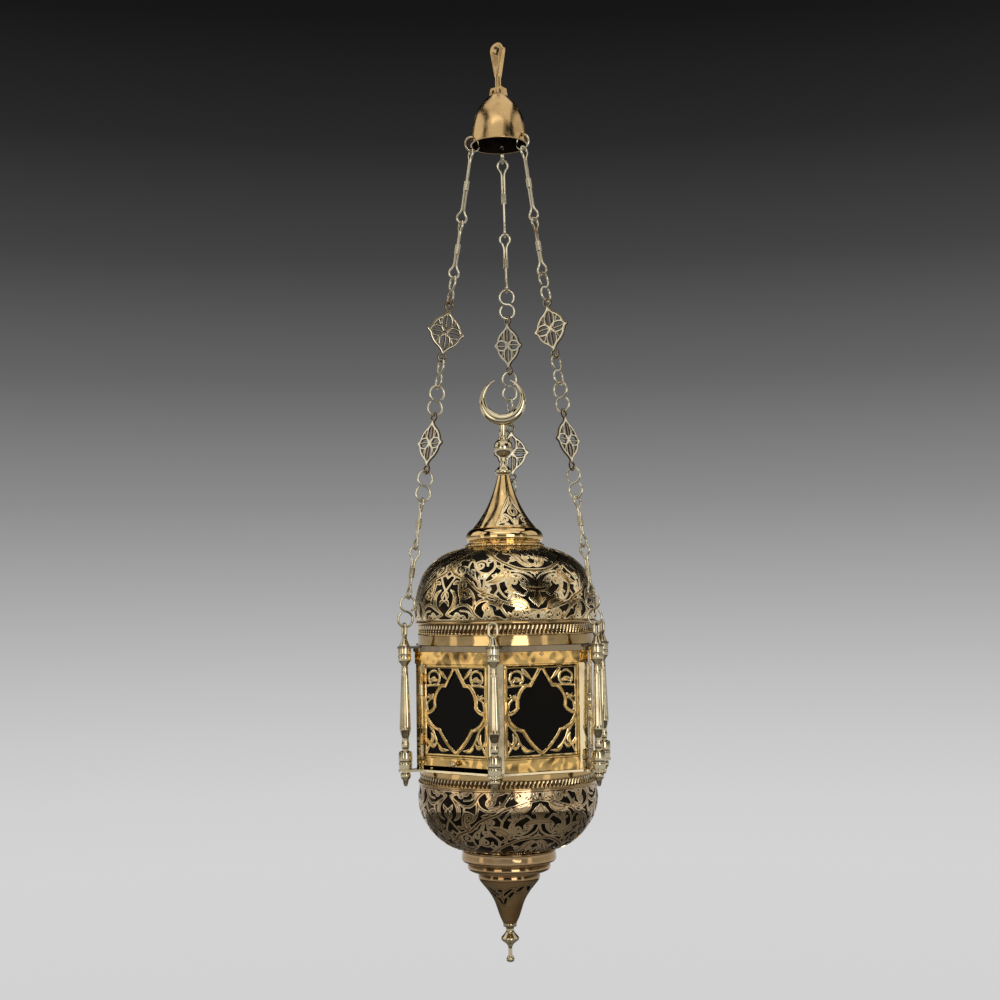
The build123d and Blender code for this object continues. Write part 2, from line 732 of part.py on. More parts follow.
# Eye nuts: flared nuts with a wire eye that stands across the radius
with BuildPart() as eye_nuts:
    for number, azimuth in enumerate(column_azimuths):
        twist = chain_twists[number // 2] if number % 2 == 0 else 0
        turn = radians(twist)
        place = outward(azimuth) * column_circle
        across = sideways(azimuth) * cos(turn) - outward(azimuth) * sin(turn)
        eye_plane = Plane(origin=place + up * nut_eye_top, x_dir=across, z_dir=across.cross(up))
        loop_radius = nut_eye_half_width - nut_eye_wire
        loop_top = -nut_eye_wire - loop_radius
        loop_foot = loop_radius - nut_eye_height
        with BuildLine(eye_plane) as eye_wire:
            Line((loop_radius, loop_foot), (loop_radius, loop_top))
            ThreePointArc((loop_radius, loop_top), (0, -nut_eye_wire), (-loop_radius, loop_top))
            Line((-loop_radius, loop_top), (-loop_radius, loop_foot))
            ThreePointArc((-loop_radius, loop_foot), (0, -nut_eye_height), (loop_radius, loop_foot))
        with BuildSketch(Plane(origin=eye_wire.line @ 0, z_dir=eye_wire.line % 0)):
            Circle(nut_eye_wire)
        sweep()
        with BuildSketch(Plane(origin=place + up * upper_plate_top)):
            Circle(nut_flare_radius)
        with BuildSketch(Plane(origin=place + up * (upper_plate_top + nut_flare_height))):
            Circle(nut_neck_radius)
        loft(ruled=True)
        with BuildSketch(Plane(origin=place + up * upper_plate_top)):
            Circle(stud_radius + running_clearance)
        extrude(amount=stud_length + seat_clearance, mode=Mode.SUBTRACT)
save(eye_nuts, "eye_nuts")

# Drop nuts under the lower plate
with BuildPart() as drop_nuts:
    for azimuth in column_azimuths:
        place = outward(azimuth) * column_circle
        with BuildSketch(Plane(origin=place, x_dir=outward(azimuth), z_dir=-sideways(azimuth))):
            turned_face(turned_points(drop_nut_shares, drop_nut_radius, lower_plate_foot, -drop_nut_height))
        revolve(axis=Axis(tuple(place), (0, 0, 1)))
        with BuildSketch(Plane(origin=place + up * lower_plate_foot)):
            Circle(stud_radius + running_clearance)
        extrude(amount=-stud_length - seat_clearance, mode=Mode.SUBTRACT)
save(drop_nuts, "drop_nuts")

# Pierced panels
panel_middle = lower_plate_top + drum_height / 2
pane_width = pierced_width + 2 * pane_lap
pane_height = pierced_height + 2 * pane_lap
pane_middle = lower_plate_top + pierced_rise + pierced_height / 2
pierced_foot = pierced_rise - drum_height / 2


def pierced_point(shares, hand=1):
    """Point of the piercing from its shares of the half width and the height."""
    return (hand * shares[0] * pierced_width / 2, pierced_foot + shares[1] * pierced_height)


def window_face():
    """Pointed four-lobed window with stepped shoulders."""
    crown = pierced_point((0, crown_point_share))
    foot = pierced_point((0, foot_point_share))
    with BuildLine() as outline:
        for hand in (1, -1):
            step = pierced_point((window_step_width_share, window_step_height_share), hand)
            shoulder = pierced_point((shoulder_width_share, window_step_height_share), hand)
            waist = pierced_point(waist_shares, hand)
            side = pierced_point(side_point_shares, hand)
            lower_step = pierced_point(lower_step_shares, hand)
            knee = pierced_point(lower_knee_shares, hand)
            Line(crown, step)
            Line(step, shoulder)
            ThreePointArc(shoulder, pierced_point(shoulder_mid_shares, hand), waist)
            ThreePointArc(waist, pierced_point(flare_mid_shares, hand), side)
            ThreePointArc(side, pierced_point(belly_mid_shares, hand), lower_step)
            Line(lower_step, knee)
            ThreePointArc(knee, pierced_point(foot_mid_shares, hand), foot)
    make_face(outline.edges())


def pierced_sheet(width, height, middle_rise):
    """Sheet with the piercing: window band, volutes, twigs and sprigs left standing."""
    with BuildSketch(mode=Mode.PRIVATE) as window:
        window_face()
    with BuildSketch(mode=Mode.PRIVATE) as window_rim:
        add(window.sketch)
        offset(amount=window_band, kind=Kind.ARC)
    with BuildSketch(mode=Mode.PRIVATE) as pierced:
        with Locations((0, pierced_foot + pierced_height / 2)):
            Rectangle(pierced_width, pierced_height)
    with BuildSketch(mode=Mode.PRIVATE) as scrolls:
        for hand in (1, -1):
            for stroke in twig_shares + sprig_shares:
                start, middle, end = [pierced_point(shares, hand) for shares in stroke]
                with BuildLine():
                    ThreePointArc(start, middle, end)
                trace(line_width=scroll_width)
            volute = pierced_point(volute_shares, hand)
            curl = (volute[0], volute[1] - curl_drop)
            with Locations(volute):
                Circle(volute_radius)
                Circle(volute_radius - scroll_width, mode=Mode.SUBTRACT)
            with Locations(curl):
                Circle(curl_radius)
                Circle(curl_radius - scroll_width, mode=Mode.SUBTRACT)
    with Locations((0, middle_rise)):
        Rectangle(width, height)
    add(pierced.sketch, mode=Mode.SUBTRACT)
    add(scrolls.sketch.intersect(pierced.sketch))
    add(window_rim.sketch)
    add(window.sketch, mode=Mode.SUBTRACT)


for number, azimuth in enumerate(panel_azimuths[1:], 1):
    with BuildPart() as panel:
        with BuildSketch(facing_plane(azimuth, panel_inner_apothem, panel_middle)):
            pierced_sheet(panel_width, drum_height, 0)
            with Locations((0, drum_height / 2 - panel_rivet_drop)):
                Circle(panel_rivet_radius + running_clearance, mode=Mode.SUBTRACT)
        extrude(amount=panel_thickness)
    save(panel, f"panel_{number}")

    with BuildPart() as pane:
        with BuildSketch(facing_plane(azimuth, panel_inner_apothem - pane_thickness, pane_middle)):
            Rectangle(pane_width, pane_height)
        extrude(amount=pane_thickness)
    save(pane, f"pane_{number}")

# Rivets that hold the fixed panels to the rim of the upper plate
rivet_tail = panel_inner_apothem - panel_rivet_dome
with BuildPart() as panel_rivets:
    for azimuth in panel_azimuths[1:]:
        with BuildSketch(facing_plane(azimuth, panel_inner_apothem, rivet_level)):
            Circle(panel_rivet_radius)
        extrude(amount=rim_outer_apothem - panel_inner_apothem)
        with BuildSketch(facing_plane(azimuth, rim_outer_apothem, rivet_level)):
            Circle(panel_rivet_head)
        extrude(amount=panel_rivet_dome)
        with BuildSketch(facing_plane(azimuth, rivet_tail, rivet_level)):
            Circle(panel_rivet_head)
        extrude(amount=panel_rivet_dome)
save(panel_rivets, "panel_rivets")

# Hinge line of the door, on the outer face beside the first corner post
leaf_half = drum_radius / 2 - post_wing - door_side_gap
hinge_side = -leaf_half - door_side_gap / 2
hinge_apothem = post_apothem + knuckle_radius + seat_clearance
door_foot = lower_plate_top + door_bottom_gap
door_top = upper_plate_foot - upper_rim_drop - door_top_gap
door_height = door_top - door_foot
hinge_levels = [door_foot + door_height * hinge_rise_share, door_top - door_height * hinge_rise_share]
hinge_place = outward(0) * hinge_apothem + sideways(0) * hinge_side


def knuckle(level, hand):
    """Hinge tube above its level with a leaf on the outer face, to the right for hand 1."""
    leaf_middle = hinge_side + hand * hinge_leaf_length / 2
    with BuildSketch(facing_plane(0, post_apothem, level + knuckle_length / 2)) as hinge_leaf:
        with Locations((leaf_middle, 0)):
            Rectangle(hinge_leaf_length, knuckle_length)
    extrude(hinge_leaf.sketch, amount=hinge_leaf_thickness)
    with BuildSketch(Plane(origin=hinge_place + up * level)) as tube:
        Circle(knuckle_radius)
    extrude(tube.sketch, amount=knuckle_length)
    with BuildSketch(Plane(origin=hinge_place + up * level)) as bore:
        Circle(hinge_pin_radius + running_clearance)
    extrude(bore.sketch, amount=knuckle_length, mode=Mode.SUBTRACT)


def corner_post(azimuth):
    """Folded angle strip over the corner of two panels."""
    corner = outward(azimuth) * drum_radius
    with BuildSketch(Plane.XY.offset(lower_plate_top)) as section:
        RegularPolygon(drum_radius, side_count)
        RegularPolygon(drum_radius - post_wall / flat_share, side_count, mode=Mode.SUBTRACT)
        with Locations(tuple(corner)[:2]):
            Circle(post_wing, mode=Mode.INTERSECT)
    extrude(section.sketch, amount=drum_height)


# Corner posts; the first one carries the fixed hinge knuckles
with BuildPart() as corner_posts:
    for azimuth in column_azimuths:
        corner_post(azimuth)
    for level in hinge_levels:
        knuckle(level - knuckle_length - seat_clearance, -1)
save(corner_posts, "corner_posts")

# Hinge pins with a head at each end
with BuildPart() as hinge_pins:
    for level in hinge_levels:
        pin_foot = level - knuckle_length - 2 * seat_clearance
        pin_top = level + knuckle_length + seat_clearance
        with BuildSketch(Plane(origin=hinge_place + up * pin_foot)):
            Circle(hinge_pin_radius)
        extrude(amount=pin_top - pin_foot)
        with BuildSketch(Plane(origin=hinge_place + up * pin_foot)):
            Circle(pin_head_radius)
        extrude(amount=-pin_head_height)
        with BuildSketch(Plane(origin=hinge_place + up * pin_top)):
            Circle(pin_head_radius)
        extrude(amount=pin_head_height)
save(hinge_pins, "hinge_pins")

# Door: pierced leaf with its hinge knuckles, its pane and its knob
leaf_middle_rise = (door_top + door_foot) / 2 - panel_middle
knob_level = door_foot + knob_rise
knob_stem_radius = knob_radius * knob_shares[0][0]
with BuildPart() as door:
    with BuildSketch(facing_plane(0, post_apothem - panel_thickness, panel_middle)):
        pierced_sheet(2 * leaf_half, door_height, leaf_middle_rise)
        with Locations((0, knob_level - panel_middle)):
            Circle(knob_stem_radius + running_clearance, mode=Mode.SUBTRACT)
    extrude(amount=panel_thickness)
    for level in hinge_levels:
        knuckle(level, 1)
save(door, "door")

with BuildPart() as door_pane:
    door_pane_apothem = post_apothem - panel_thickness - pane_thickness
    with BuildSketch(facing_plane(0, door_pane_apothem, pane_middle)):
        Rectangle(pane_width, pane_height)
    extrude(amount=pane_thickness)
save(door_pane, "door_pane")

with BuildPart() as door_knob:
    knob_plane = Plane(origin=outward(0) * post_apothem + up * knob_level, x_dir=up, z_dir=sideways(0))
    with BuildSketch(knob_plane):
        turned_face(turned_points(knob_shares, knob_radius, 0, knob_length))
    revolve(axis=Axis(tuple(knob_plane.origin), tuple(knob_plane.y_dir)))
    with BuildSketch(facing_plane(0, post_apothem, knob_level)):
        Circle(knob_stem_radius)
    extrude(amount=-panel_thickness)
save(door_knob, "door_knob")

# Candle holder on the floor plate
with BuildPart() as drip_pan:
    pan_floor = pan_floor_share * pan_radius
    with BuildSketch(Plane.XZ):
        Polygon(
            (0, lower_plate_top),
            (pan_floor, lower_plate_top),
            (pan_radius, lower_plate_top + pan_height),
            (pan_radius - pan_wall, lower_plate_top + pan_height),
            (pan_floor - pan_wall / 2, lower_plate_top + pan_wall),
            (0, lower_plate_top + pan_wall),
            align=None,
        )
    revolve(axis=Axis.Z)
save(drip_pan, "drip_pan")

with BuildPart() as candle_socket:
    with BuildSketch(Plane.XY.offset(lower_plate_top + pan_wall)):
        Circle(socket_radius)
    extrude(amount=socket_height)
    with BuildSketch(Plane.XY.offset(lower_plate_top + pan_wall + socket_wall)):
        Circle(socket_radius - socket_wall)
    extrude(amount=socket_height, mode=Mode.SUBTRACT)
save(candle_socket, "candle_socket")


def folded_face(points, wall):
    """Half section of a folded sheet that follows an outline."""
    with BuildLine() as border:
        Polyline(*points, *reversed(inset_points(points, wall)), close=True)
    make_face(border.edges())


# Dome band: plain and rope band with a bead that the dome stands on and a foot on the plate
band_inner = dome_band_radius - band_wall
bead_foot = band_top - bead_height
with BuildPart() as dome_band:
    with BuildSketch(Plane.XZ):
        with BuildLine():
            Polyline(
                (dome_band_radius, upper_plate_top),
                (dome_band_radius, bead_foot),
                ((dome_band_radius + bead_radius) / 2, bead_foot),
            )
            ThreePointArc(
                ((dome_band_radius + bead_radius) / 2, bead_foot),
                (bead_radius, bead_foot + bead_height / 2),
                ((dome_band_radius + bead_radius) / 2, band_top),
            )
            Polyline(
                ((dome_band_radius + bead_radius) / 2, band_top),
                (band_inner, band_top),
                (band_inner, upper_plate_top + band_wall),
                (band_inner - band_foot_width, upper_plate_top + band_wall),
                (band_inner - band_foot_width, upper_plate_top),
                (dome_band_radius, upper_plate_top),
            )
        make_face()
    revolve(axis=Axis.Z)
    with BuildSketch(Plane.XY.offset(upper_plate_top)):
        with PolarLocations(band_rivet_circle, side_count):
            Circle(band_rivet_radius + running_clearance)
    extrude(amount=band_wall, mode=Mode.SUBTRACT)
save(dome_band, "dome_band")


def pierced_rows(points, row_shares):
    """Rows of leaves cut through a spun sheet; curled half leaves stand beside them in the wide rows."""
    half_sector = 180 / sector_count
    for row, share in enumerate(row_shares):
        shift = half_sector * (row % 2)
        with BuildSketch(*skin_planes(points, share, sector_count, shift)) as large_leaves:
            leaf_face(large_leaf_width, large_leaf_height)
        extrude(large_leaves.sketch, amount=cut_depth, both=True, mode=Mode.SUBTRACT)
        with BuildSketch(*skin_planes(points, share, sector_count, shift + half_sector)) as small_leaves:
            leaf_face(small_leaf_width, small_leaf_height)
        extrude(small_leaves.sketch, amount=cut_depth, both=True, mode=Mode.SUBTRACT)
        if row < wide_row_count:
            for hand in (1, -1):
                turn = shift + hand * comma_azimuth
                with BuildSketch(*skin_planes(points, share, sector_count, turn)) as commas:
                    comma_face(comma_width, comma_height, hand)
                extrude(commas.sketch, amount=cut_depth, both=True, mode=Mode.SUBTRACT)


# Dome: spun sheet with its openwork
dome_points = turned_points(dome_shares, dome_radius, band_top, dome_height)
with BuildPart() as dome:
    with BuildSketch(Plane.XZ):
        spun_face(dome_points, inset_points(dome_points, sheet_wall))
    revolve(axis=Axis.Z)
    pierced_rows(dome_points, dome_row_shares)
save(dome, "dome")

# Spire ring, upper spire, finial and crescent
ring_points = turned_points(spire_ring_shares, spire_ring_radius, dome_top, spire_ring_height)
with BuildPart() as spire_ring:
    with BuildSketch(Plane.XZ):
        folded_face(ring_points, sheet_wall)
    revolve(axis=Axis.Z)
save(spire_ring, "spire_ring")

spire_points = turned_points(spire_shares, spire_radius, spire_foot, spire_height)
with BuildPart() as upper_spire:
    with BuildSketch(Plane.XZ):
        spun_face(spire_points, inset_points(spire_points, sheet_wall))
    revolve(axis=Axis.Z)
    split(bisect_by=Plane.XY.offset(spire_foot), keep=Keep.TOP)
    for row, share in enumerate(spire_row_shares):
        shift = row * 180 / spire_leaf_count
        with BuildSketch(*skin_planes(spire_points, share, spire_leaf_count, shift)):
            leaf_face(spire_leaf_width, spire_leaf_height)
        extrude(amount=cut_depth, both=True, mode=Mode.SUBTRACT)
save(upper_spire, "upper_spire")

spigot_radius = inset_points(spire_points, sheet_wall)[-1][0] - seat_clearance
with BuildPart() as finial:
    with BuildSketch(Plane.XZ):
        turned_face(turned_points(finial_shares, finial_radius, spire_top, finial_height))
    revolve(axis=Axis.Z)
    with BuildSketch(Plane.XY.offset(spire_top)):
        Circle(spigot_radius)
    extrude(amount=-spigot_length)
    with BuildSketch(Plane.XY.offset(finial_top)):
        Circle(peg_radius + running_clearance)
    extrude(amount=-peg_length - seat_clearance, mode=Mode.SUBTRACT)
save(finial, "finial")

# Crescent: horns that taper from the foot, with a peg into the finial
crescent_middle = finial_top + crescent_radius
crescent_out = outward(crescent_azimuth)
crescent_side = sideways(crescent_azimuth)
with BuildPart() as crescent:
    for k in range(crescent_section_count):
        angle = crescent_horn_angle * (2 * k / (crescent_section_count - 1) - 1)
        ray = crescent_side * sin(radians(angle)) - up * cos(radians(angle))
        lift = -crescent_rise * cos(radians(angle))
        inner = lift + sqrt(crescent_inner_radius**2 - crescent_rise**2 * sin(radians(angle)) ** 2)
        half = (crescent_radius - inner) / 2
        section_origin = up * crescent_middle + ray * (crescent_radius - half)
        with BuildSketch(Plane(origin=section_origin, x_dir=ray, z_dir=ray.cross(crescent_out))):
            Ellipse(half, half * crescent_depth_share)
    loft()
    with BuildSketch(Plane.XY.offset(finial_top + crescent_tip)):
        Circle(peg_radius)
    extrude(amount=-peg_length - crescent_tip)
save(crescent, "crescent")

# Bowl band under the floor plate
bowl_band_inner = bowl_band_radius - band_wall
with BuildPart() as bowl_band:
    with BuildSketch(Plane.XZ):
        Polygon(
            (bowl_band_inner - band_foot_width, lower_plate_foot),
            (bowl_band_radius, lower_plate_foot),
            (bowl_band_radius, bowl_band_foot + bead_height / 2),
            (bowl_radius, bowl_band_foot + bead_height / 2),
            (bowl_radius, bowl_band_foot),
            (bowl_band_inner, bowl_band_foot),
            (bowl_band_inner, lower_plate_foot - band_wall),
            (bowl_band_inner - band_foot_width, lower_plate_foot - band_wall),
            align=None,
        )
    revolve(axis=Axis.Z)
    with BuildSketch(Plane.XY.offset(lower_plate_foot)):
        with PolarLocations(band_rivet_circle, side_count):
            Circle(band_rivet_radius + running_clearance)
    extrude(amount=-band_wall, mode=Mode.SUBTRACT)
save(bowl_band, "bowl_band")

# Rivets through the feet of both bands and the plates
with BuildPart() as band_rivets:
    for foot, top in (
        (upper_plate_foot, upper_plate_top + band_wall),
        (lower_plate_foot - band_wall, lower_plate_top),
    ):
        with BuildSketch(Plane.XY.offset(foot)):
            with PolarLocations(band_rivet_circle, side_count):
                Circle(band_rivet_radius)
        extrude(amount=top - foot)
        with BuildSketch(Plane.XY.offset(top)):
            with PolarLocations(band_rivet_circle, side_count):
                Circle(band_rivet_head)
        extrude(amount=band_rivet_cap)
        with BuildSketch(Plane.XY.offset(foot)):
            with PolarLocations(band_rivet_circle, side_count):
                Circle(band_rivet_head)
        extrude(amount=-band_rivet_cap)
save(band_rivets, "band_rivets")

# Bowl: spun sheet, pierced like the dome
bowl_points = turned_points(bowl_shares, bowl_radius, bowl_band_foot, -bowl_height)
with BuildPart() as bowl:
    with BuildSketch(Plane.XZ):
        spun_face(bowl_points, inset_points(bowl_points, -sheet_wall))
    revolve(axis=Axis.Z)
    pierced_rows(bowl_points, bowl_row_shares)
save(bowl, "bowl")

# Bowl collar, lower spire and drop finial
collar_points = turned_points(bowl_collar_shares, bowl_collar_radius, bowl_foot, -bowl_collar_height)
with BuildPart() as bowl_collar:
    with BuildSketch(Plane.XZ):
        folded_face(collar_points, -sheet_wall)
    revolve(axis=Axis.Z)
save(bowl_collar, "bowl_collar")

lower_spire_points = turned_points(lower_spire_shares, lower_spire_radius, collar_foot, -lower_spire_height)
with BuildPart() as lower_spire:
    with BuildSketch(Plane.XZ):
        spun_face(lower_spire_points, inset_points(lower_spire_points, -sheet_wall))
    revolve(axis=Axis.Z)
    with BuildSketch(*skin_planes(lower_spire_points, lower_spire_row_share, spire_leaf_count, 0)):
        leaf_face(spire_leaf_width, spire_leaf_height)
    extrude(amount=cut_depth, both=True, mode=Mode.SUBTRACT)
save(lower_spire, "lower_spire")

drop_points = turned_points(
    drop_finial_shares, drop_finial_radius, lower_spire_foot, -drop_finial_height
)
drop_spigot_radius = inset_points(lower_spire_points, -sheet_wall)[-1][0] - seat_clearance
with BuildPart() as drop_finial:
    with BuildSketch(Plane.XZ):
        turned_face(drop_points)
    revolve(axis=Axis.Z)
    with BuildSketch(Plane.XY.offset(lower_spire_foot)):
        Circle(drop_spigot_radius)
    extrude(amount=spigot_length)
save(drop_finial, "drop_finial")
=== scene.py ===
import math

import bpy
import numpy as np
from mathutils import Matrix


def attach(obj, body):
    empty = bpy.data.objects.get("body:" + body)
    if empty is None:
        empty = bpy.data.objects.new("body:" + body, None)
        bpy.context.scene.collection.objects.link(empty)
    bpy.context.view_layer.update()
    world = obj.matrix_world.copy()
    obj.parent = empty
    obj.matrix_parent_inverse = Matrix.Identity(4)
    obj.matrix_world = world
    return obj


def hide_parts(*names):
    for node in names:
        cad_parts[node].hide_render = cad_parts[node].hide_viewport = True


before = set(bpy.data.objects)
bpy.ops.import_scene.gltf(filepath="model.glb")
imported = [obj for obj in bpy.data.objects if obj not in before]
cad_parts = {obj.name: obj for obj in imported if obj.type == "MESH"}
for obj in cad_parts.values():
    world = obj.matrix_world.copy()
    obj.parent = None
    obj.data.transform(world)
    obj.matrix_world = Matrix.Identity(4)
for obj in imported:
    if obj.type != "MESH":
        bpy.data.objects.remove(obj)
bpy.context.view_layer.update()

bl_info = {
    "name": "Fanous lantern",
    "version": (1, 0, 0),
    "blender": (4, 5, 0),
    "location": "View3D > Sidebar > Lantern",
    "description": "Dresses the frame of a hanging fanous lantern in pierced, turned and wired brass",
    "category": "Object",
}

MM = 0.001
TAU = 2 * math.pi
UP = np.array([0.0, 0.0, 1.0])

# Levels of the lantern in millimetres, counted down from the bore of the hanging eye
BELL_TOP, BELL_RIM = -59.1, -118.6
RING_HOLE_LEVEL, RING_HOLE_CIRCLE = -112.0, 34.15
CHAIN_TOP, CHAIN_FOOT = -112.3, -704.5
NUT_EYE_TOP = -699.3
UPPER_TOP, UPPER_FOOT = -726.9, -729.4
LOWER_TOP, LOWER_FOOT = -868.9, -871.4
BAND_TOP, DOME_TOP = -698.4, -610.9
SPIRE_FOOT, SPIRE_TOP = -588.9, -524.9
FINIAL_TOP = -463.9
BOWL_BAND_FOOT, BOWL_FOOT = -888.4, -967.4
COLLAR_FOOT, LOWER_SPIRE_FOOT = -994.9, -1054.9
DROP_FOOT = -1100.9

DRUM_HEIGHT = 139.5
POST_APOTHEM = 99.593
COLUMN_CIRCLE = 129.0
COLUMN_AZIMUTHS = [-30.0, 30.0, 90.0, 150.0, 210.0, 270.0]
CHAINS = {"left": (-30.0, 0.0, 0.0, 106.0), "right": (90.0, 0.0, 0.0, 90.0), "rear": (210.0, 46.0, 32.0, 90.0)}
SHEET_WALL, OPENWORK = 1.4, 1.0
CAMERA_AZIMUTH = 36.4


# Settings


def colour_setting(name, description, default):
    """A setting for one colour."""
    return bpy.props.FloatVectorProperty(
        name=name, description=description, subtype="COLOR", size=3, min=0, max=1, default=default)


class LanternFinishes(bpy.types.PropertyGroup):
    """Colours of the lantern's brasses."""

    gold: colour_setting("Gold brass", "Polished sheet of the dome and the upper spire", (0.78, 0.55, 0.25))
    warm: colour_setting("Warm brass", "Orange gold of the panels, the door and the upper plate", (0.65, 0.425, 0.15))
    pale: colour_setting("Pale brass", "Cast columns, nuts and finials", (0.62, 0.535, 0.35))
    old: colour_setting("Old brass", "Dull brass of the canopy, its eye and the rivets", (0.60, 0.40, 0.18))
    wire: colour_setting("Wire brass", "Worn wire of the chains", (0.66, 0.60, 0.44))
    plaque: colour_setting("Plaque brass", "Dark cast brass of the chains' plaques", (0.25, 0.21, 0.14))
    band: colour_setting("Band brass", "Carved bands of the dome and the bowl", (0.54, 0.37, 0.165))
    # Bowl and brown brass: darker copies of the brass, painted shade for the bowl and its collar under the drum.
    bowl: colour_setting("Bowl brass", "Pierced sheet of the bowl", (0.55, 0.39, 0.215))
    brown: colour_setting("Brown brass", "Darker brass of the bowl's collar", (0.46, 0.31, 0.16))
    # Lower brass: a darker copy of the sheet brass, painted shade for the lower spire under the lantern.
    lower: colour_setting("Lower brass", "Dark sheet of the lower spire", (0.36, 0.235, 0.115))
    tarnish: colour_setting("Tarnish", "Brown film in the recesses of the brass", (0.22, 0.12, 0.045))
    # Inner shade: near-black painted shade for the back skins of the pierced sheets and panels, the bell's inside and
    # the sheet behind the openwork.
    inner_shade: colour_setting("Painted inner shade", "Blackened inner side of the pierced sheets", (0.018, 0.014, 0.010))


class LanternOrnament(bpy.types.PropertyGroup):
    """Sizes of the ornament."""

    ribbon: bpy.props.FloatProperty(
        name="Ribbon breadth", description="Breadth of the openwork ribbons against their drawing",
        default=0.92, min=0.7, max=1.6)
    slashes: bpy.props.IntProperty(
        name="Rope slashes", description="Number of slanted cuts round each rope band", default=124, min=40, max=160)
    reeds: bpy.props.IntProperty(
        name="Column reeds", description="Number of reeds round each column", default=12, min=6, max=20)
    wrap_turns: bpy.props.IntProperty(
        name="Collar turns", description="Turns of wire in each wrapped collar", default=9, min=4, max=14)


class LanternStage(bpy.types.PropertyGroup):
    """Light and floor of the studio."""

    key_power: bpy.props.FloatProperty(
        name="Key light", description="Power of the front window light", unit="POWER", default=8.0, min=0)
    fill_power: bpy.props.FloatProperty(
        name="Fill light", description="Power of the broad side light", unit="POWER", default=10.0, min=0)
    floor_level: bpy.props.FloatProperty(
        name="Floor level", description="Height of the floor under the hanging eye", unit="LENGTH", default=-2.3)


def settings(group):
    """The named group of settings on the scene."""
    return getattr(bpy.context.scene, group)


# Shapes


def turn(azimuth):
    """Outward and sideways unit vectors at an azimuth counted from -Y towards +X."""
    t = math.radians(azimuth)
    return np.array([math.sin(t), -math.cos(t), 0.0]), np.array([math.cos(t), math.sin(t), 0.0])


def unit(rows):
    """Rows of vectors brought to length one."""
    return rows / np.linalg.norm(rows, axis=1)[:, None]


def round_angles(count):
    """Angles of so many even steps round a circle."""
    return np.arange(count) * TAU / count


def sized(shares, radius, level, height):
    """Profile out of shares of a radius and shares of a height over a level."""
    return np.array([(radius * r, level + height * h) for r, h in shares])


def grid_faces(rows, cols, loop_rows=False, loop_cols=False):
    """Quads of a grid: each cell joins a point, its right neighbour and the two above them."""
    i = np.arange(rows if loop_rows else rows - 1)[:, None]
    j = np.arange(cols if loop_cols else cols - 1)[None, :]
    k, m = (i + 1) % rows, (j + 1) % cols
    return np.stack([i * cols + j, i * cols + m, k * cols + m, k * cols + j], -1).reshape(-1, 4)


def skin(rings, foot=None, head=None, loop=False):
    """Surface over rows of closed rings, with its ends drawn together in the points foot and head."""
    rows, cols = rings.shape[:2]
    verts = rings.reshape(-1, 3)
    polys = [grid_faces(rows, cols, loop, True)]
    j = np.arange(cols)
    k = (j + 1) % cols
    if foot is not None:
        polys.append(np.stack([np.full(cols, len(verts)), k, j], -1))
        verts = np.vstack([verts, foot])
    if head is not None:
        last = (rows - 1) * cols
        polys.append(np.stack([last + j, last + k, np.full(cols, len(verts))], -1))
        verts = np.vstack([verts, head])
    return verts, polys


def joined(shapes):
    """One shape out of several: points stacked, faces counted on."""
    verts, polys, base = [], [], 0
    for points, faces in shapes:
        verts.append(points)
        polys += [f + base for f in faces]
        base += len(points)
    return np.concatenate(verts), polys


def rounded(points, cut=0.2, passes=2, closed=False):
    """Corner cutting: every side keeps its middle part and each corner becomes a short side, pass by pass."""
    p = np.asarray(points, float)
    for _ in range(passes):
        q = np.roll(p, -1, 0) if closed else p[1:]
        a = p if closed else p[:-1]
        mid = np.stack([a + cut * (q - a), q - cut * (q - a)], 1).reshape(-1, p.shape[1])
        p = mid if closed else np.vstack([p[:1], mid, p[-1:]])
    return p


def spline_through(points, count):
    """Natural cubic spline through the points by chord length, sampled evenly."""
    p = np.asarray(points, float)
    t = np.concatenate([[0], np.cumsum(np.linalg.norm(np.diff(p, axis=0), axis=1))])
    h = np.diff(t)
    n = len(p)
    system = np.eye(n)
    inner = np.arange(1, n - 1)
    system[inner, inner - 1] = h[:-1]
    system[inner, inner] = 2 * (h[:-1] + h[1:])
    system[inner, inner + 1] = h[1:]
    slope = np.diff(p, axis=0) / h[:, None]
    bend = np.zeros_like(p)
    bend[1:-1] = 6 * np.diff(slope, axis=0)
    m = np.linalg.solve(system, bend)
    s = np.linspace(0, t[-1], count)
    k = np.clip(np.searchsorted(t, s, side="right") - 1, 0, n - 2)
    w = h[k][:, None]
    a = (t[k + 1] - s)[:, None] / w
    b = 1 - a
    return a * p[k] + b * p[k + 1] + ((a**3 - a) * m[k] + (b**3 - b) * m[k + 1]) * w * w / 6


def turned_rings(profile, sides, centre=(0.0, 0.0)):
    """Rows of rings: the profile's point (r, z) at azimuth t stands at (r sin t, -r cos t, z)."""
    r, z = np.asarray(profile, float).T
    t = round_angles(sides)
    x = r[:, None] * np.sin(t) + centre[0]
    y = -r[:, None] * np.cos(t) + centre[1]
    return np.stack([x, y, np.broadcast_to(z[:, None], x.shape)], -1)


def turned(profile, sides=96, centre=(0.0, 0.0)):
    """Solid turned form: the profile climbs the outside and both its ends close on the axis."""
    p = np.asarray(profile, float)
    p = p[p[:, 0] > 1e-6] if p[0, 0] < 1e-6 or p[-1, 0] < 1e-6 else p
    low, high = np.asarray(profile, float)[[0, -1], 1]
    return skin(turned_rings(p, sides, centre), (*centre, low), (*centre, high))


def turned_shell(profile, sides=96, centre=(0.0, 0.0)):
    """Turned sheet: a closed profile that climbs the outside and comes down the inside."""
    return skin(turned_rings(profile, sides, centre), loop=True)


def folded(points, wall, inset=0.0):
    """Closed section of a sheet: the outline moved inwards by the inset, upwards, then by the wall more, downwards."""
    p = np.asarray(points, float)
    run = unit(np.gradient(p, axis=0))
    way = np.stack([-run[:, 1], run[:, 0]], -1)
    return np.vstack([p + inset * way, (p + (inset + wall) * way)[::-1]])


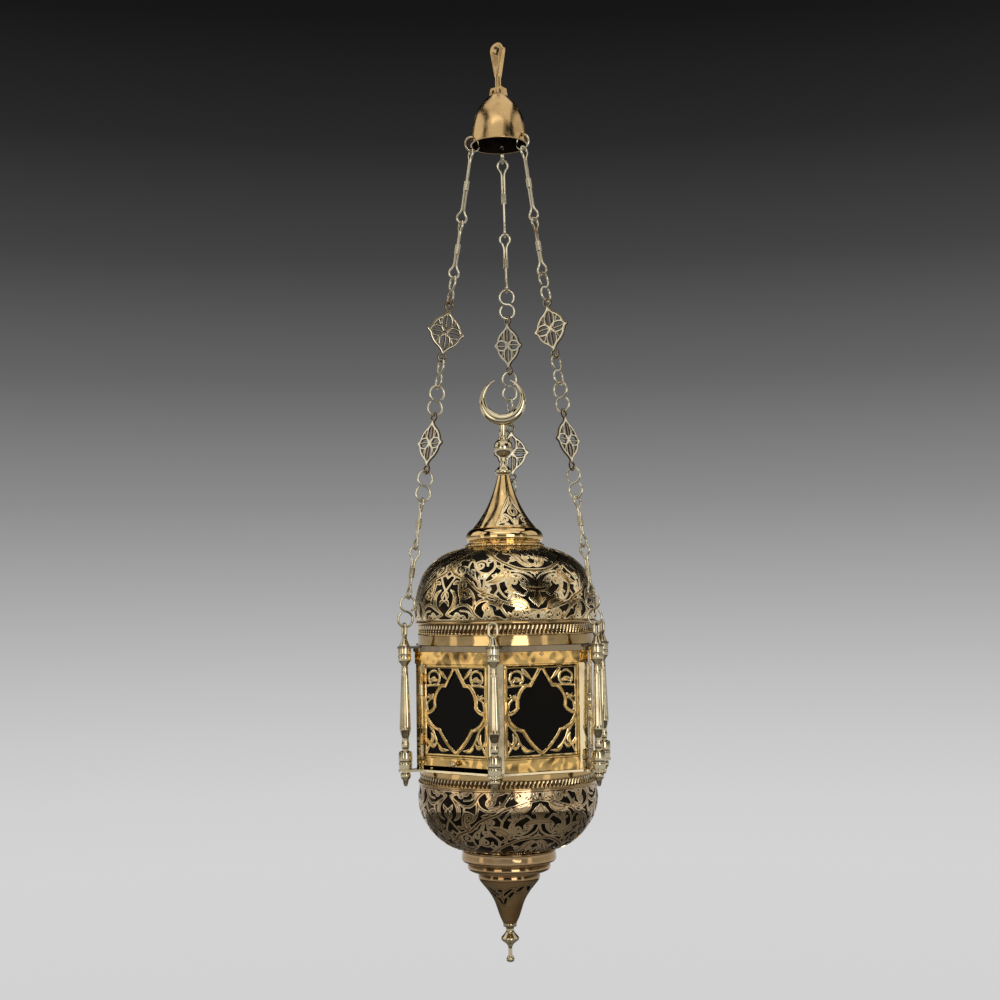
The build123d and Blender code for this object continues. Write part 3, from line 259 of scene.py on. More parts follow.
def tube(path, radius, normal, sides=12, closed=False):
    """Wire: a circle carried along the path, held upright by the normal of the path's plane."""
    path = np.asarray(path, float)
    run = unit(np.roll(path, -1, 0) - np.roll(path, 1, 0) if closed else np.gradient(path, axis=0))
    radii = np.full(len(path), radius, float)
    if not closed:
        path = np.vstack([path[0] - run[0] * radius * 0.45, path, path[-1] + run[-1] * radius * 0.45])
        run = np.vstack([run[0], run, run[-1]])
        radii = np.concatenate([[radius * 0.6], radii, [radius * 0.6]])
    side = unit(np.cross(run, np.broadcast_to(normal, run.shape)))
    lift = np.cross(side, run)
    t = round_angles(sides)[None, :, None]
    rings = path[:, None] + radii[:, None, None] * (side[:, None] * np.cos(t) - lift[:, None] * np.sin(t))
    if closed:
        return skin(rings, loop=True)
    return skin(rings, path[0] - run[0] * radius * 0.25, path[-1] + run[-1] * radius * 0.25)


def arc_points(centre, radius, start, sweep, count):
    """Points of an arc in a plane, angles in degrees from the first axis."""
    t = np.radians(start + sweep * np.linspace(0, 1, count))
    return np.stack([centre[0] + radius * np.cos(t), centre[1] + radius * np.sin(t)], -1)


def arc_through(first, middle, last, count=14):
    """Points of the circular arc through three points."""
    a, b, c = (np.asarray(p, float) for p in (first, middle, last))
    rows = 2 * np.array([b - a, c - a])
    centre = np.linalg.solve(rows, [b @ b - a @ a, c @ c - a @ a])
    angles = [math.atan2(*(p - centre)[::-1]) for p in (a, b, c)]
    sweep = (angles[2] - angles[0]) % TAU
    if (angles[1] - angles[0]) % TAU > sweep:
        sweep -= TAU
    return arc_points(centre, np.linalg.norm(a - centre), math.degrees(angles[0]), math.degrees(sweep), count)


def flowing(points, steps=20):
    """Hand-drawn line: a Catmull-Rom curve through the points."""
    p = np.asarray(points, float)
    q = np.vstack([2 * p[0] - p[1], p, 2 * p[-1] - p[-2]])
    t = (np.arange(steps) / steps)[None, :, None]
    p0, p1, p2, p3 = (q[k:k + len(p) - 1, None] for k in range(4))
    line = 0.5 * (2 * p1 + (p2 - p0) * t + (2 * p0 - 5 * p1 + 4 * p2 - p3) * t**2
                  + (3 * p1 - p0 - 3 * p2 + p3) * t**3)
    return np.vstack([line.reshape(-1, 2), p[-1:]])


def scroll(points, width, end_width=None, centre=None, turns=1.4, eye=2.0):
    """Ribbon along a drawn line; with a centre it winds on into a snail whose radius shrinks to the eye."""
    line = flowing(points)
    if centre is not None:
        arm = np.subtract(points[-1], centre)
        t = np.linspace(0, 1, 64)
        r = np.hypot(*arm) * (1 - t**0.85) + eye * t**0.85
        a = math.atan2(arm[1], arm[0]) + TAU * turns * t
        line = np.vstack([line, np.stack([centre[0] + r * np.cos(a), centre[1] + r * np.sin(a)], -1)])
    half = np.linspace(width, end_width or width, len(line))
    if centre is not None:
        half[-1] = eye * 1.05
    return line, half


def leaf(points, width):
    """Pointed leaf along a drawn line, broad behind its middle."""
    line = flowing(points)
    t = np.linspace(0, 1, len(line))
    return line, 0.4 + width * np.abs(np.sin(math.pi * t**0.8)) ** 1.2


def taper(points, halves):
    """Blade along a drawn line, with its half breadths named from end to end."""
    line = flowing(points)
    return line, np.interp(np.linspace(0, 1, len(line)), np.linspace(0, 1, len(halves)), halves)


def ring(centre, radius, half):
    """Round ring."""
    t = np.linspace(0, TAU, 49)
    return np.array(centre) + radius * np.stack([np.cos(t), np.sin(t)], -1), np.full(49, half)


def ribbon_field(x, y, strokes, breadth=1.0, mirrors=()):
    """Depth inside the nearest ribbon: the largest of half width minus distance over all points drawn."""
    field = np.full(x.shape, -50.0)
    for line, half in strokes:
        for sign, shift in ((1, 0.0), *mirrors):
            px, py = line[:, 0] * sign + shift, line[:, 1]
            reach = np.hypot(x[..., None] - px, y[..., None] - py)
            field = np.maximum(field, (half * breadth - reach).max(-1))
    return field


SQUARE_CASES = {
    1: [[0, 4, 7]], 2: [[1, 5, 4]], 3: [[0, 1, 5, 7]], 4: [[2, 6, 5]], 5: [[0, 4, 7], [2, 6, 5]],
    6: [[1, 2, 6, 4]], 7: [[0, 1, 2, 6, 7]], 8: [[3, 7, 6]], 9: [[0, 4, 6, 3]], 10: [[1, 5, 4], [3, 7, 6]],
    11: [[0, 1, 5, 6, 3]], 12: [[2, 3, 7, 5]], 13: [[0, 4, 5, 2, 3]], 14: [[1, 2, 3, 7, 4]], 15: [[0, 1, 2, 3]],
}


def cut_sheet(field, base, normal, front, back, edges, wrap=False):
    """Pierced sheet: metal stands where the field is above zero.

    Each grid cell gives the part of its square inside the metal, cut where the field crosses zero on the
    square's sides. The front skin stands front above the base along the normal, the back skin back below it,
    and walls join them along every cut. Edges holds the front and back heights on the cut itself.
    Returns points, faces, the skin each face belongs to (0 front, 1 back, 2 wall) and the depth at each point.
    """
    rows, cols = field.shape
    count = rows * cols

    def crossing(axis):
        other = np.roll(field, -1, axis)
        share = np.where((field > 0) != (other > 0), field / np.where(field == other, 1, field - other), 0.5)
        share = np.clip(share, 0.04, 0.96)[..., None]
        place = base + share * (np.roll(base, -1, axis) - base)
        way = normal + share * (np.roll(normal, -1, axis) - normal)
        return place, way

    right, above = crossing(1), crossing(0)
    bases = np.concatenate([p.reshape(-1, 3) for p in (base, right[0], above[0])])
    ways = np.concatenate([p.reshape(-1, 3) for p in (normal, right[1], above[1])])
    fronts = np.concatenate([front.ravel(), np.full(2 * count, edges[0])])[:, None]
    backs = np.concatenate([back.ravel(), np.full(2 * count, edges[1])])[:, None]
    depths = np.concatenate([np.maximum(field.ravel(), 0), np.zeros(2 * count)])

    i = np.arange(rows - 1)[:, None]
    j = np.arange(cols if wrap else cols - 1)[None, :]
    a = (i * cols + j).ravel()
    b = (i * cols + (j + 1) % cols).ravel()
    d, c = a + cols, b + cols
    slots = np.stack([a, b, c, d, count + a, 2 * count + b, count + d, 2 * count + a], -1)
    solid = (field > 0).ravel()
    case = solid[a] + 2 * solid[b] + 4 * solid[c] + 8 * solid[d]
    fronts_of = [slots[case == key][:, poly] for key, polys in SQUARE_CASES.items() for poly in polys]
    fronts_of = [f for f in fronts_of if len(f)]

    start = np.concatenate([f.ravel() for f in fronts_of])
    end = np.concatenate([np.roll(f, -1, 1).ravel() for f in fronts_of])
    total = 3 * count
    rim = ~np.isin(start * total + end, end * total + start)
    p, q = start[rim], end[rim]
    walls = np.stack([q, p, p + total, q + total], -1)

    polys = fronts_of + [f[:, ::-1] + total for f in fronts_of] + [walls]
    index = [0] * len(fronts_of) + [1] * len(fronts_of) + [2]
    used, new = np.unique(np.concatenate([f.ravel() for f in polys]), return_inverse=True)
    points = np.concatenate([bases + ways * fronts, bases + ways * backs])[used]
    sizes = [f.size for f in polys]
    pieces = np.split(new, np.cumsum(sizes)[:-1])
    faces = [piece.reshape(f.shape) for piece, f in zip(pieces, polys)]
    return points, faces, index, np.concatenate([depths, depths])[used]


def spun_sheet(field, line, wall):
    """Sheet of revolution on a meridian, cut by a field with rows along the meridian and columns round it."""
    run = unit(np.gradient(line, axis=0))
    t = round_angles(field.shape[1])
    out = np.stack([np.sin(t), -np.cos(t), np.zeros_like(t)], -1)
    normal = run[:, 1][:, None, None] * out - run[:, 0][:, None, None] * UP
    flat = np.zeros(field.shape)
    return cut_sheet(field, turned_rings(line, len(t)), normal, flat, flat - wall, (0.0, -wall), True)


def with_parts(sheet, parts, skin_number, depth):
    """A cut sheet joined with further shapes, which share one skin and one depth."""
    points, faces, index, depths = sheet
    verts, polys = joined([(points, faces), *parts])
    index = index + [skin_number] * (len(polys) - len(faces))
    return verts, polys, index, np.append(depths, np.full(len(verts) - len(points), depth))


# Finishes


def fill(tree, socket, value):
    """Links a socket to another node's output, or sets it to a number, a vector or a colour."""
    if isinstance(value, bpy.types.NodeSocket):
        tree.links.new(value, socket)
    else:
        socket.default_value = (*value, 1.0) if socket.type == "RGBA" else value


def add_node(tree, kind, place, **values):
    """A shader node with its settings made and its named sockets filled."""
    node = tree.nodes.new(kind)
    node.location = place
    for key, value in values.items():
        if key in node.inputs:
            fill(tree, node.inputs[key], value)
        else:
            setattr(node, key, value)
    return node


def noise(tree, place, coord, scale, detail, roughness=0.5):
    """Clouds of a scale and a detail."""
    return add_node(tree, "ShaderNodeTexNoise", place, Vector=coord, Scale=scale, Detail=detail,
                    Roughness=roughness).outputs["Fac"]


def ranged(tree, place, source, low, high, to_low=0.0, to_high=1.0):
    """A smooth step of a value between two limits."""
    limits = {"From Min": low, "From Max": high, "To Min": to_low, "To Max": to_high}
    return add_node(tree, "ShaderNodeMapRange", place, interpolation_type="SMOOTHSTEP", Value=source,
                    **limits).outputs["Result"]


def mixed(tree, place, factor, first, second):
    """A colour between two, each a colour or another node's output."""
    node = add_node(tree, "ShaderNodeMix", place, data_type="RGBA", Factor=factor)
    fill(tree, node.inputs[6], first)
    fill(tree, node.inputs[7], second)
    return node.outputs[2]


def math_node(tree, place, operation, first, second):
    """One sum of two values, each a number or another node's output."""
    node = add_node(tree, "ShaderNodeMath", place, operation=operation)
    fill(tree, node.inputs[0], first)
    fill(tree, node.inputs[1], second)
    return node.outputs[0]


def new_material(name, values):
    """A material whose shader has some sockets set."""
    material = bpy.data.materials.new(name)
    material.use_nodes = True
    tree = material.node_tree
    for key, value in values.items():
        fill(tree, tree.nodes["Principled BSDF"].inputs[key], value)
    return material


def surface(tree, tint, gloss, height, strength, distance):
    """Gives the shader its colour, its roughness and a bump."""
    bump = add_node(tree, "ShaderNodeBump", (-200, -500), Strength=strength, Distance=distance, Height=height)
    for key, value in (("Base Color", tint), ("Roughness", gloss), ("Normal", bump.outputs["Normal"])):
        fill(tree, tree.nodes["Principled BSDF"].inputs[key], value)


# Grey reflection tint: painted reflection of a grey band, put on the upper plate's edge.
GREY_REFLECTION_TINT, GROOVE_AND_EDGE_SHADE_TINT = (0.20, 0.165, 0.115), (0.07, 0.035, 0.012)


def brass(name, colour, rough, film=0.5, beaten=0.15, carved=False, line_at=1.5, lip=0.85, scratch=0.035,
          wave_scale=85.0, grey_reflection_above=None, edge_highlight_tint=(0.90, 0.78, 0.52)):
    """Brass that films over in clouds, wears rough in smudges, waves where it was beaten and carries fine scratches.

    A carved brass reads its depth from the cut edge in millimetres: the edge, or with a negative lip the ridge, is
    painted pale as a highlight, and a dark line is engraved beside it, which is painted shade on the strands' sides
    when it lies at the edge. With a level the brass above that height is flatter and tinted grey-brown as a painted
    reflection.
    """
    material = new_material(name, {"Metallic": 1.0})
    tree = material.node_tree
    coord = add_node(tree, "ShaderNodeTexCoord", (-1400, 0)).outputs["Object"]
    stretch = add_node(tree, "ShaderNodeMapping", (-1350, -500), Vector=coord, Scale=(2600.0, 2600.0, 120.0))
    cloud = noise(tree, (-1150, 250), coord, 26.0, 6.0, 0.62)
    smudge = noise(tree, (-1150, 0), coord, 60.0, 4.0, 0.65)
    fine = noise(tree, (-1150, -250), coord, 900.0, 2.0)
    rub = noise(tree, (-1150, -500), stretch.outputs["Vector"], 1.0, 3.0)
    wave = noise(tree, (-1150, -750), coord, wave_scale, 1.0)

    veil = ranged(tree, (-900, 250), cloud, 0.47, 0.70, 0.0, film)
    tint = mixed(tree, (-650, 250), veil, colour, settings("fanous_finishes").tarnish)
    if grey_reflection_above is not None:
        # Painted reflection: above the level the tint turns grey-brown for the grey band the plate's edge reflects, and
        # the beaten waves flatten.
        level = add_node(tree, "ShaderNodeSeparateXYZ", (-1150, 900), Vector=coord).outputs["Z"]
        limits = (grey_reflection_above - 0.3) * MM, grey_reflection_above * MM
        tint = mixed(tree, (-550, 250), ranged(tree, (-900, 900), level, *limits), tint, GREY_REFLECTION_TINT)
        flat = ranged(tree, (-900, 1050), level, *limits, 1.0, 0.08)
        wave = math_node(tree, (-800, -750), "MULTIPLY", wave, flat)
    height = math_node(tree, (-650, -300), "MULTIPLY", fine, scratch)
    for x, y, source, weight in ((-500, -300, rub, scratch), (-400, -400, wave, beaten * 10)):
        part = math_node(tree, (-650, y - 120), "MULTIPLY", source, weight)
        height = math_node(tree, (x, y), "ADD", height, part)
    if carved:
        depth = add_node(tree, "ShaderNodeAttribute", (-1150, 550), attribute_name="depth").outputs["Fac"]
        away = math_node(tree, (-950, 700), "SUBTRACT", depth, line_at)
        away = math_node(tree, (-800, 700), "ABSOLUTE", away, 0.0)
        line = ranged(tree, (-650, 700), away, 0.12, 0.36, 1.0, 0.0)
        # Painted highlight: the cut edge, or with a negative lip the ridge, is tinted pale as if it caught the light.
        edge_highlight = ranged(tree, (-800, 550), depth, abs(lip) - 0.6, abs(lip), float(lip > 0), float(lip < 0))
        tint = mixed(tree, (-450, 350), edge_highlight, tint, edge_highlight_tint)
        # Dark line: engraved grooves; where the line lies at the cut edge, as on the plaques, it is painted shade on
        # the strands' sides.
        tint = mixed(tree, (-300, 450), line, tint, GROOVE_AND_EDGE_SHADE_TINT)
        bevel = ranged(tree, (-650, 550), depth, 0.0, 0.6, 0.0, 0.22)
        height = math_node(tree, (-350, -250), "ADD", height, bevel)
        cut = math_node(tree, (-350, -100), "MULTIPLY", line, 0.35)
        height = math_node(tree, (-200, -250), "SUBTRACT", height, cut)
    gloss = ranged(tree, (-650, 0), smudge, 0.38, 0.72, rough * 0.7, rough * 1.6)
    surface(tree, tint, gloss, height, 0.5, 0.0005)
    return material


def shade_dark_glass(name):
    """Near-black amber glass, painted shade that keeps the windows dark, with a faint film of dust and shallow waves.
    """
    material = new_material(name, {"IOR": 1.13, "Transmission Weight": 0.5})
    tree = material.node_tree
    coord = add_node(tree, "ShaderNodeTexCoord", (-900, 0)).outputs["Object"]
    dust = noise(tree, (-700, 0), coord, 40.0, 5.0)
    wave = noise(tree, (-700, -250), coord, 25.0, 1.0)
    # Near-black tint: painted shade standing in for the dark inside behind the panes.
    tint = mixed(tree, (-450, 150), dust, (0.002, 0.0015, 0.001), (0.012, 0.008, 0.005))
    gloss = ranged(tree, (-450, -80), dust, 0.4, 0.8, 0.02, 0.10)
    surface(tree, tint, gloss, wave, 0.08, 0.002)
    return material


def make_finishes():
    """All finishes by name."""
    f = settings("fanous_finishes")
    # Dimmer painted edge highlight for the lower parts, and the size of the beaten waves.
    dim_edge_highlight, beaten_waves = (0.66, 0.53, 0.34), 44.0
    return {
        "old": brass("old_brass", f.old, 0.23, 0.60, 0.06),
        "chain": brass("chain_wire", f.wire, 0.10, 0.95, 0.0, scratch=0.004),
        # Plaque: painted shade along the strand edges and a painted pale highlight along each ridge.
        "plaque": brass("plaque_brass", f.plaque, 0.12, 0.9, 0.0, True, 0.12, -1.45, 0.01,
                        edge_highlight_tint=(0.80, 0.74, 0.56)),
        "sheet": brass("sheet_brass", f.gold, 0.07, 0.30, 0.12),
        # Plate: its upper edge carries the painted grey reflection.
        "plate": brass("plate_brass", f.warm, 0.08, 0.80, 1.30, wave_scale=beaten_waves, grey_reflection_above=UPPER_FOOT - 4.0),
        "carved": brass("carved_band_brass", f.band, 0.07, 0.35, 0.10, True),
        "pierced": brass("pierced_brass", f.gold, 0.13, 0.55, 0.05, True),
        # Collar: darker copy of the brass as painted shade of the underside.
        "collar": brass("collar_shaded_brass", f.brown, 0.07, 0.60, 0.10),
        # Lower spire: darker copy of the brass as painted shade, with dimmer painted edge highlights.
        "lower": brass("lower_shaded_brass", f.lower, 0.07, 0.85, 0.10, True, lip=0.6, edge_highlight_tint=dim_edge_highlight),
        # Bowl: darker copy of the brass as painted shade, with dimmer painted edge highlights.
        "bowl": brass("bowl_shaded_brass", f.bowl, 0.09, 0.80, 0.08, True, edge_highlight_tint=dim_edge_highlight),
        "panel": brass("panel_brass", f.warm, 0.07, 0.80, 1.55, True, PANEL_LINE, 0.95, wave_scale=beaten_waves,
                       edge_highlight_tint=(0.92, 0.74, 0.42)),
        "cast": brass("cast_brass", f.pale, 0.05, 0.45, 0.02, scratch=0.02),
        "rivet": brass("rivet_brass", f.old, 0.35, 0.7),
        "inner": brass("inner_brass", f.tarnish, 0.45, 0.8),
        # Painted shade: near-black brass on every back skin, standing in for the shade inside the lantern and the bell.
        "inner_shade": brass("inner_shade_brass", f.inner_shade, 0.6, 0.2),
        "glass": shade_dark_glass("shade_dark_glass"),
    }


FINISH = {}


def new_mesh(name, verts, polys):
    """A smooth mesh in metres out of points in millimetres and arrays of faces."""
    mesh = bpy.data.meshes.new(name)
    sizes = np.concatenate([np.full(len(f), f.shape[1]) for f in polys])
    corners = np.concatenate([f.ravel() for f in polys]).astype(np.int32)
    mesh.vertices.add(len(verts))
    mesh.vertices.foreach_set("co", (np.asarray(verts) * MM).astype(np.float32).ravel())
    mesh.loops.add(len(corners))
    mesh.loops.foreach_set("vertex_index", corners)
    mesh.polygons.add(len(sizes))
    mesh.polygons.foreach_set("loop_start", (np.cumsum(sizes) - sizes).astype(np.int32))
    mesh.polygons.foreach_set("use_smooth", np.ones(len(sizes), bool))
    mesh.update(calc_edges=True)
    return mesh


def make_piece(name, shape, finish, node, body="lantern", sharp=40.0, back=None):
    """A finished piece in place of a solid, creased over an angle.

    The shape holds points and faces, and may add the skin of each array of faces and the depth at each point.
    With a back finish the back skin wears it.
    """
    verts, polys, *more = shape
    mesh = new_mesh(name, verts, polys)
    mesh.materials.append(FINISH[finish])
    if back is not None:
        mesh.materials.append(FINISH[back])
        which = np.concatenate([np.full(len(f), k == 1) for f, k in zip(polys, more[0])])
        mesh.polygons.foreach_set("material_index", which.astype(np.int32))
    if len(more) == 2:
        layer = mesh.attributes.new("depth", "FLOAT", "POINT")
        layer.data.foreach_set("value", np.asarray(more[1], np.float32))
    mesh.set_sharp_from_angle(angle=math.radians(sharp))
    if mesh.validate():
        raise RuntimeError(f"{name} has broken faces")
    piece = bpy.data.objects.new(name, mesh)
    bpy.context.scene.collection.objects.link(piece)
    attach(piece, body)
    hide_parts(node)


def smooth_modifier():
    """Geometry nodes that weld a solid's triangles and crease them over an angle."""
    group = bpy.data.node_groups.new("smooth_solid", "GeometryNodeTree")
    group.interface.new_socket("Geometry", in_out="INPUT", socket_type="NodeSocketGeometry")
    group.interface.new_socket("Geometry", in_out="OUTPUT", socket_type="NodeSocketGeometry")
    start, end = group.nodes.new("NodeGroupInput"), group.nodes.new("NodeGroupOutput")
    weld = group.nodes.new("GeometryNodeMergeByDistance")
    weld.inputs["Distance"].default_value = 1e-6
    angle = group.nodes.new("GeometryNodeInputMeshEdgeAngle")
    flat = group.nodes.new("FunctionNodeCompare")
    flat.operation = "LESS_THAN"
    flat.inputs[1].default_value = math.radians(32)
    faces = group.nodes.new("GeometryNodeSetShadeSmooth")
    edges = group.nodes.new("GeometryNodeSetShadeSmooth")
    edges.domain = "EDGE"
    link = group.links.new
    link(start.outputs[0], weld.inputs["Geometry"])
    link(weld.outputs["Geometry"], faces.inputs["Geometry"])
    link(faces.outputs["Geometry"], edges.inputs["Geometry"])
    link(angle.outputs["Unsigned Angle"], flat.inputs[0])
    link(flat.outputs["Result"], edges.inputs["Shade Smooth"])
    link(edges.outputs["Geometry"], end.inputs[0])
    return group


def dress(finish, *nodes):
    """Gives CAD solids a finish and a smooth, creased shading."""
    group = bpy.data.node_groups.get("smooth_solid") or smooth_modifier()
    for node in nodes:
        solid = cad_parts[node]
        solid.data.materials.clear()
        solid.data.materials.append(FINISH[finish])
        solid.modifiers.new("smooth_solid", "NODES").node_group = group


# Canopy


BELL_PROFILE = [(34.9, BELL_RIM), (34.41, -109.08), (30.82, -88.02), (24.01, -72.01), (13.5, BELL_TOP)]
BELL_WALL, RING_HOLE_RADIUS = 1.5, 2.5


def bell_shape():
    """Spun bell: a spline of revolution, pierced by three round holes for the chain rings."""
    line = spline_through(BELL_PROFILE, 60)
    base = turned_rings(line, 192)
    field = np.full(base.shape[:2], 9.0)
    for azimuth, *_ in CHAINS.values():
        place = turn(azimuth)[0] * RING_HOLE_CIRCLE + UP * RING_HOLE_LEVEL
        field = np.minimum(field, np.linalg.norm(base - place, axis=-1) - RING_HOLE_RADIUS)
    return spun_sheet(field, line, BELL_WALL)


class FANOUS_OT_canopy(bpy.types.Operator):
    """Build the bell canopy and finish its eye, washer and stirrup"""

    bl_idname = "fanous.canopy"
    bl_label = "Canopy"

    def execute(self, context):
        crown = [(0, -60.6), (12.4, -60.6), (13.3, -60.0), (13.3, -59.3), (12.4, -59.0), (0, -59.0)]
        lip = turned_shell(arc_points((34.3, -118.2), 0.85, -90, 360, 13)[:-1], 192)
        bell = with_parts(bell_shape(), [turned(rounded(crown, 0.2, 1), 96), lip], 0, 0.0)
        # The bell's inner skin wears the near-black painted shade.
        make_piece("bell_canopy", bell[:3], "old", "bell", "bell", back="inner_shade")
        dress("old", "hanging_eye", "swivel_washer", "stirrup")
        return {"FINISHED"}


# Chains

WIRE = 1.3
RING_RADIUS = 8.9
LOOP_RADIUS, BEND_RADIUS, STRAND = 6.2, 14.0, 1.45
S_SWEEP = 318.0
LINK_LAP = 2.9
LONG_LINK, SHORT_LINK, FOOT_LINK, PLAQUE = 94.0, 72.0, 61.0, 73.0
COLLAR_LENGTH, COLLAR_RADIUS = 13.0, 3.35
CHAIN_TILT = math.atan2(COLUMN_CIRCLE - RING_HOLE_CIRCLE, CHAIN_TOP - CHAIN_FOOT)
CHAIN_LENGTH = math.hypot(COLUMN_CIRCLE - RING_HOLE_CIRCLE, CHAIN_TOP - CHAIN_FOOT)
S_RADIUS = (
    CHAIN_LENGTH + 11 * LINK_LAP - 2 * RING_RADIUS - LONG_LINK - SHORT_LINK - 2 * FOOT_LINK - 2 * PLAQUE) / 20


def chain_links(upper, lower):
    """Kind and length of each link from the bell down, with the turns of its upper and lower loop about the chain.

    Upper and lower are the turns of the two plaques.
    """
    def s_link(turned_by):
        return "s", 4 * S_RADIUS, turned_by, turned_by

    return [
        ("ring", 2 * RING_RADIUS, 0, 0), ("wrapped", LONG_LINK, 90, 0), ("wrapped", SHORT_LINK, 90, 0), s_link(90),
        ("upper_plaque", PLAQUE, upper, upper), s_link(90), s_link(0), ("lower_plaque", PLAQUE, lower, lower),
        s_link(0), ("wrapped", FOOT_LINK, 90, 90), ("wrapped", FOOT_LINK, 0, 90), s_link(0),
    ]


def loop_frame(azimuth, distance, turned_by, sense):
    """Origin and axes of a link's loop: across it, along the chain (down for sense 1) and out of its plane."""
    out, side = turn(azimuth)
    down = out * math.sin(CHAIN_TILT) - UP * math.cos(CHAIN_TILT)
    level = out * math.cos(CHAIN_TILT) + UP * math.sin(CHAIN_TILT)
    t = math.radians(turned_by)
    across = level * math.cos(t) + side * math.sin(t)
    along = down * sense
    return out * RING_HOLE_CIRCLE + UP * CHAIN_TOP + down * distance, across, along, np.cross(across, along)


def placed(points, axes):
    """Plane points carried into a loop's frame."""
    origin, across, along, _ = axes
    return origin + points[:, :1] * across + points[:, 1:2] * along


def drop_wire(axes, strand_end):
    """Drop-shaped loop: two strands, two bends and a round head, swept as one wire."""
    bend_x = STRAND + BEND_RADIUS
    bend_y = LOOP_RADIUS + math.sqrt((BEND_RADIUS + LOOP_RADIUS) ** 2 - bend_x**2)
    half = math.degrees(math.atan2(bend_y - LOOP_RADIUS, bend_x))
    right = np.vstack([[(STRAND, strand_end)], arc_points((bend_x, bend_y), BEND_RADIUS, 180, half, 12)])
    head = arc_points((0, LOOP_RADIUS), LOOP_RADIUS, half, -180 - 2 * half, 40)[1:-1]
    path = np.vstack([right, head, (right * [-1, 1])[::-1]])
    return tube(placed(path, axes), WIRE, axes[3])


def collar_wire(axes, turns):
    """Wrapped collar: a close helix round the strands, its wire as thick as its pitch."""
    origin, across, along, out = axes
    t = np.linspace(0, TAU * turns, turns * 24)
    wire = COLLAR_LENGTH / turns / 2
    radius = COLLAR_RADIUS - wire
    path = (origin + radius * (np.cos(t)[:, None] * across + np.sin(t)[:, None] * out)
            + (t / (TAU * turns) - 0.5)[:, None] * (COLLAR_LENGTH - 2 * wire) * along)
    return tube(path, wire * 1.04, along, 10)


def s_wire(axes):
    """S link: two open circles, one under the other, wound opposite ways."""
    first = arc_points((0, S_RADIUS), S_RADIUS, 90 - S_SWEEP, S_SWEEP, 44)
    second = arc_points((0, 3 * S_RADIUS), S_RADIUS, 270, -S_SWEEP, 44)
    return tube(placed(np.vstack([first, second[1:]]), axes), WIRE, axes[3])


def plaque_strokes():
    """Scalloped lozenge with four interlaced petals, a cross of two strands and a loop above and below."""
    border = [(22.4, 0.0), (18.4, 3.2), (16.2, 8.6), (11.8, 14.2), (5.8, 18.6), (3.0, 21.2), (0.0, 25.4)]
    twig = [(3.0, 4.0), (7.4, 7.0), (9.8, 11.8), (11.4, 14.0)]
    strokes = []
    for sx, sy in ((1, 1), (1, -1), (-1, 1), (-1, -1)):
        strokes.append(scroll([(sx * x, sy * y) for x, y in border], 2.1))
        strokes.append(scroll([(sx * x, sy * y) for x, y in twig], 1.5))
    t = np.linspace(0, TAU, 73)
    oval = np.stack([np.cos(t), np.sin(t)], -1)
    for s in (1, -1):
        strokes.append((oval * [6.6, 11.0] + [0, s * 11.6], np.full(73, 1.8)))
        strokes.append((oval * [10.0, 6.2] + [s * 10.4, 0], np.full(73, 1.8)))
        strokes.append((oval * 4.9 + [0, s * 31.6], np.full(73, 1.3)))
    strokes.append(scroll([(0, -27.0), (0.9, -9.0), (-0.9, 9.0), (0, 27.0)], 1.5))
    strokes.append(scroll([(-21.5, 0), (-8.0, -0.8), (8.0, 0.8), (21.5, 0)], 1.5))
    return strokes


def plaque_shape(axes):
    """Openwork lozenge: the strokes' depth gives each strand a rounded back and front."""
    x, y = np.meshgrid(np.linspace(-25, 25, 90), np.linspace(-39, 39, 140))
    field = ribbon_field(x, y, plaque_strokes())
    origin, across, along, out = axes
    base = origin + x[..., None] * across + y[..., None] * along
    round_up = np.sqrt(np.clip(field / 1.3, 0, 1)) * 0.85 + 0.45
    return cut_sheet(field, base, np.broadcast_to(out, base.shape), round_up, -round_up, (0.45, -0.45))


class FANOUS_OT_chains(bpy.types.Operator):
    """Build the three chains of rings, wrapped links, S links and plaques"""

    bl_idname = "fanous.chains"
    bl_label = "Chains"

    def execute(self, context):
        turns = settings("fanous_ornament").wrap_turns
        for name, (azimuth, twist, *plaques) in CHAINS.items():
            body = f"chain_{name}"
            start, wrapped, s_links = 0.0, [], []
            for kind, length, upper, lower in chain_links(*plaques):
                upper += twist * start / CHAIN_LENGTH
                lower += twist * (start + length) / CHAIN_LENGTH
                middle = loop_frame(azimuth, start + length / 2, (upper + lower) / 2, 1)
                if kind == "ring":
                    circle = arc_points((0, 0), RING_RADIUS, 0, 360, 73)[:-1]
                    wire = tube(placed(circle, middle), WIRE, middle[3], 14, True)
                    make_piece(f"{body}_bell_ring", wire, "chain", f"{body}_ring", body)
                elif kind == "wrapped":
                    wrapped += [
                        drop_wire(loop_frame(azimuth, start, upper, 1), length / 2 - 0.3),
                        drop_wire(loop_frame(azimuth, start + length, lower, -1), length / 2 - 0.3),
                        collar_wire(loop_frame(azimuth, start + length / 2, upper, 1), turns)]
                elif kind == "s":
                    s_links.append(s_wire(loop_frame(azimuth, start, (upper + lower) / 2, 1)))
                else:
                    make_piece(f"{body}_{kind}_work", plaque_shape(middle), "plaque", f"{body}_{kind}", body, 75)
                start += length - LINK_LAP
            make_piece(f"{body}_wrapped_wire", joined(wrapped), "chain", f"{body}_wrapped_links", body)
            make_piece(f"{body}_s_wire", joined(s_links), "chain", f"{body}_s_links", body)
        return {"FINISHED"}


# Drum


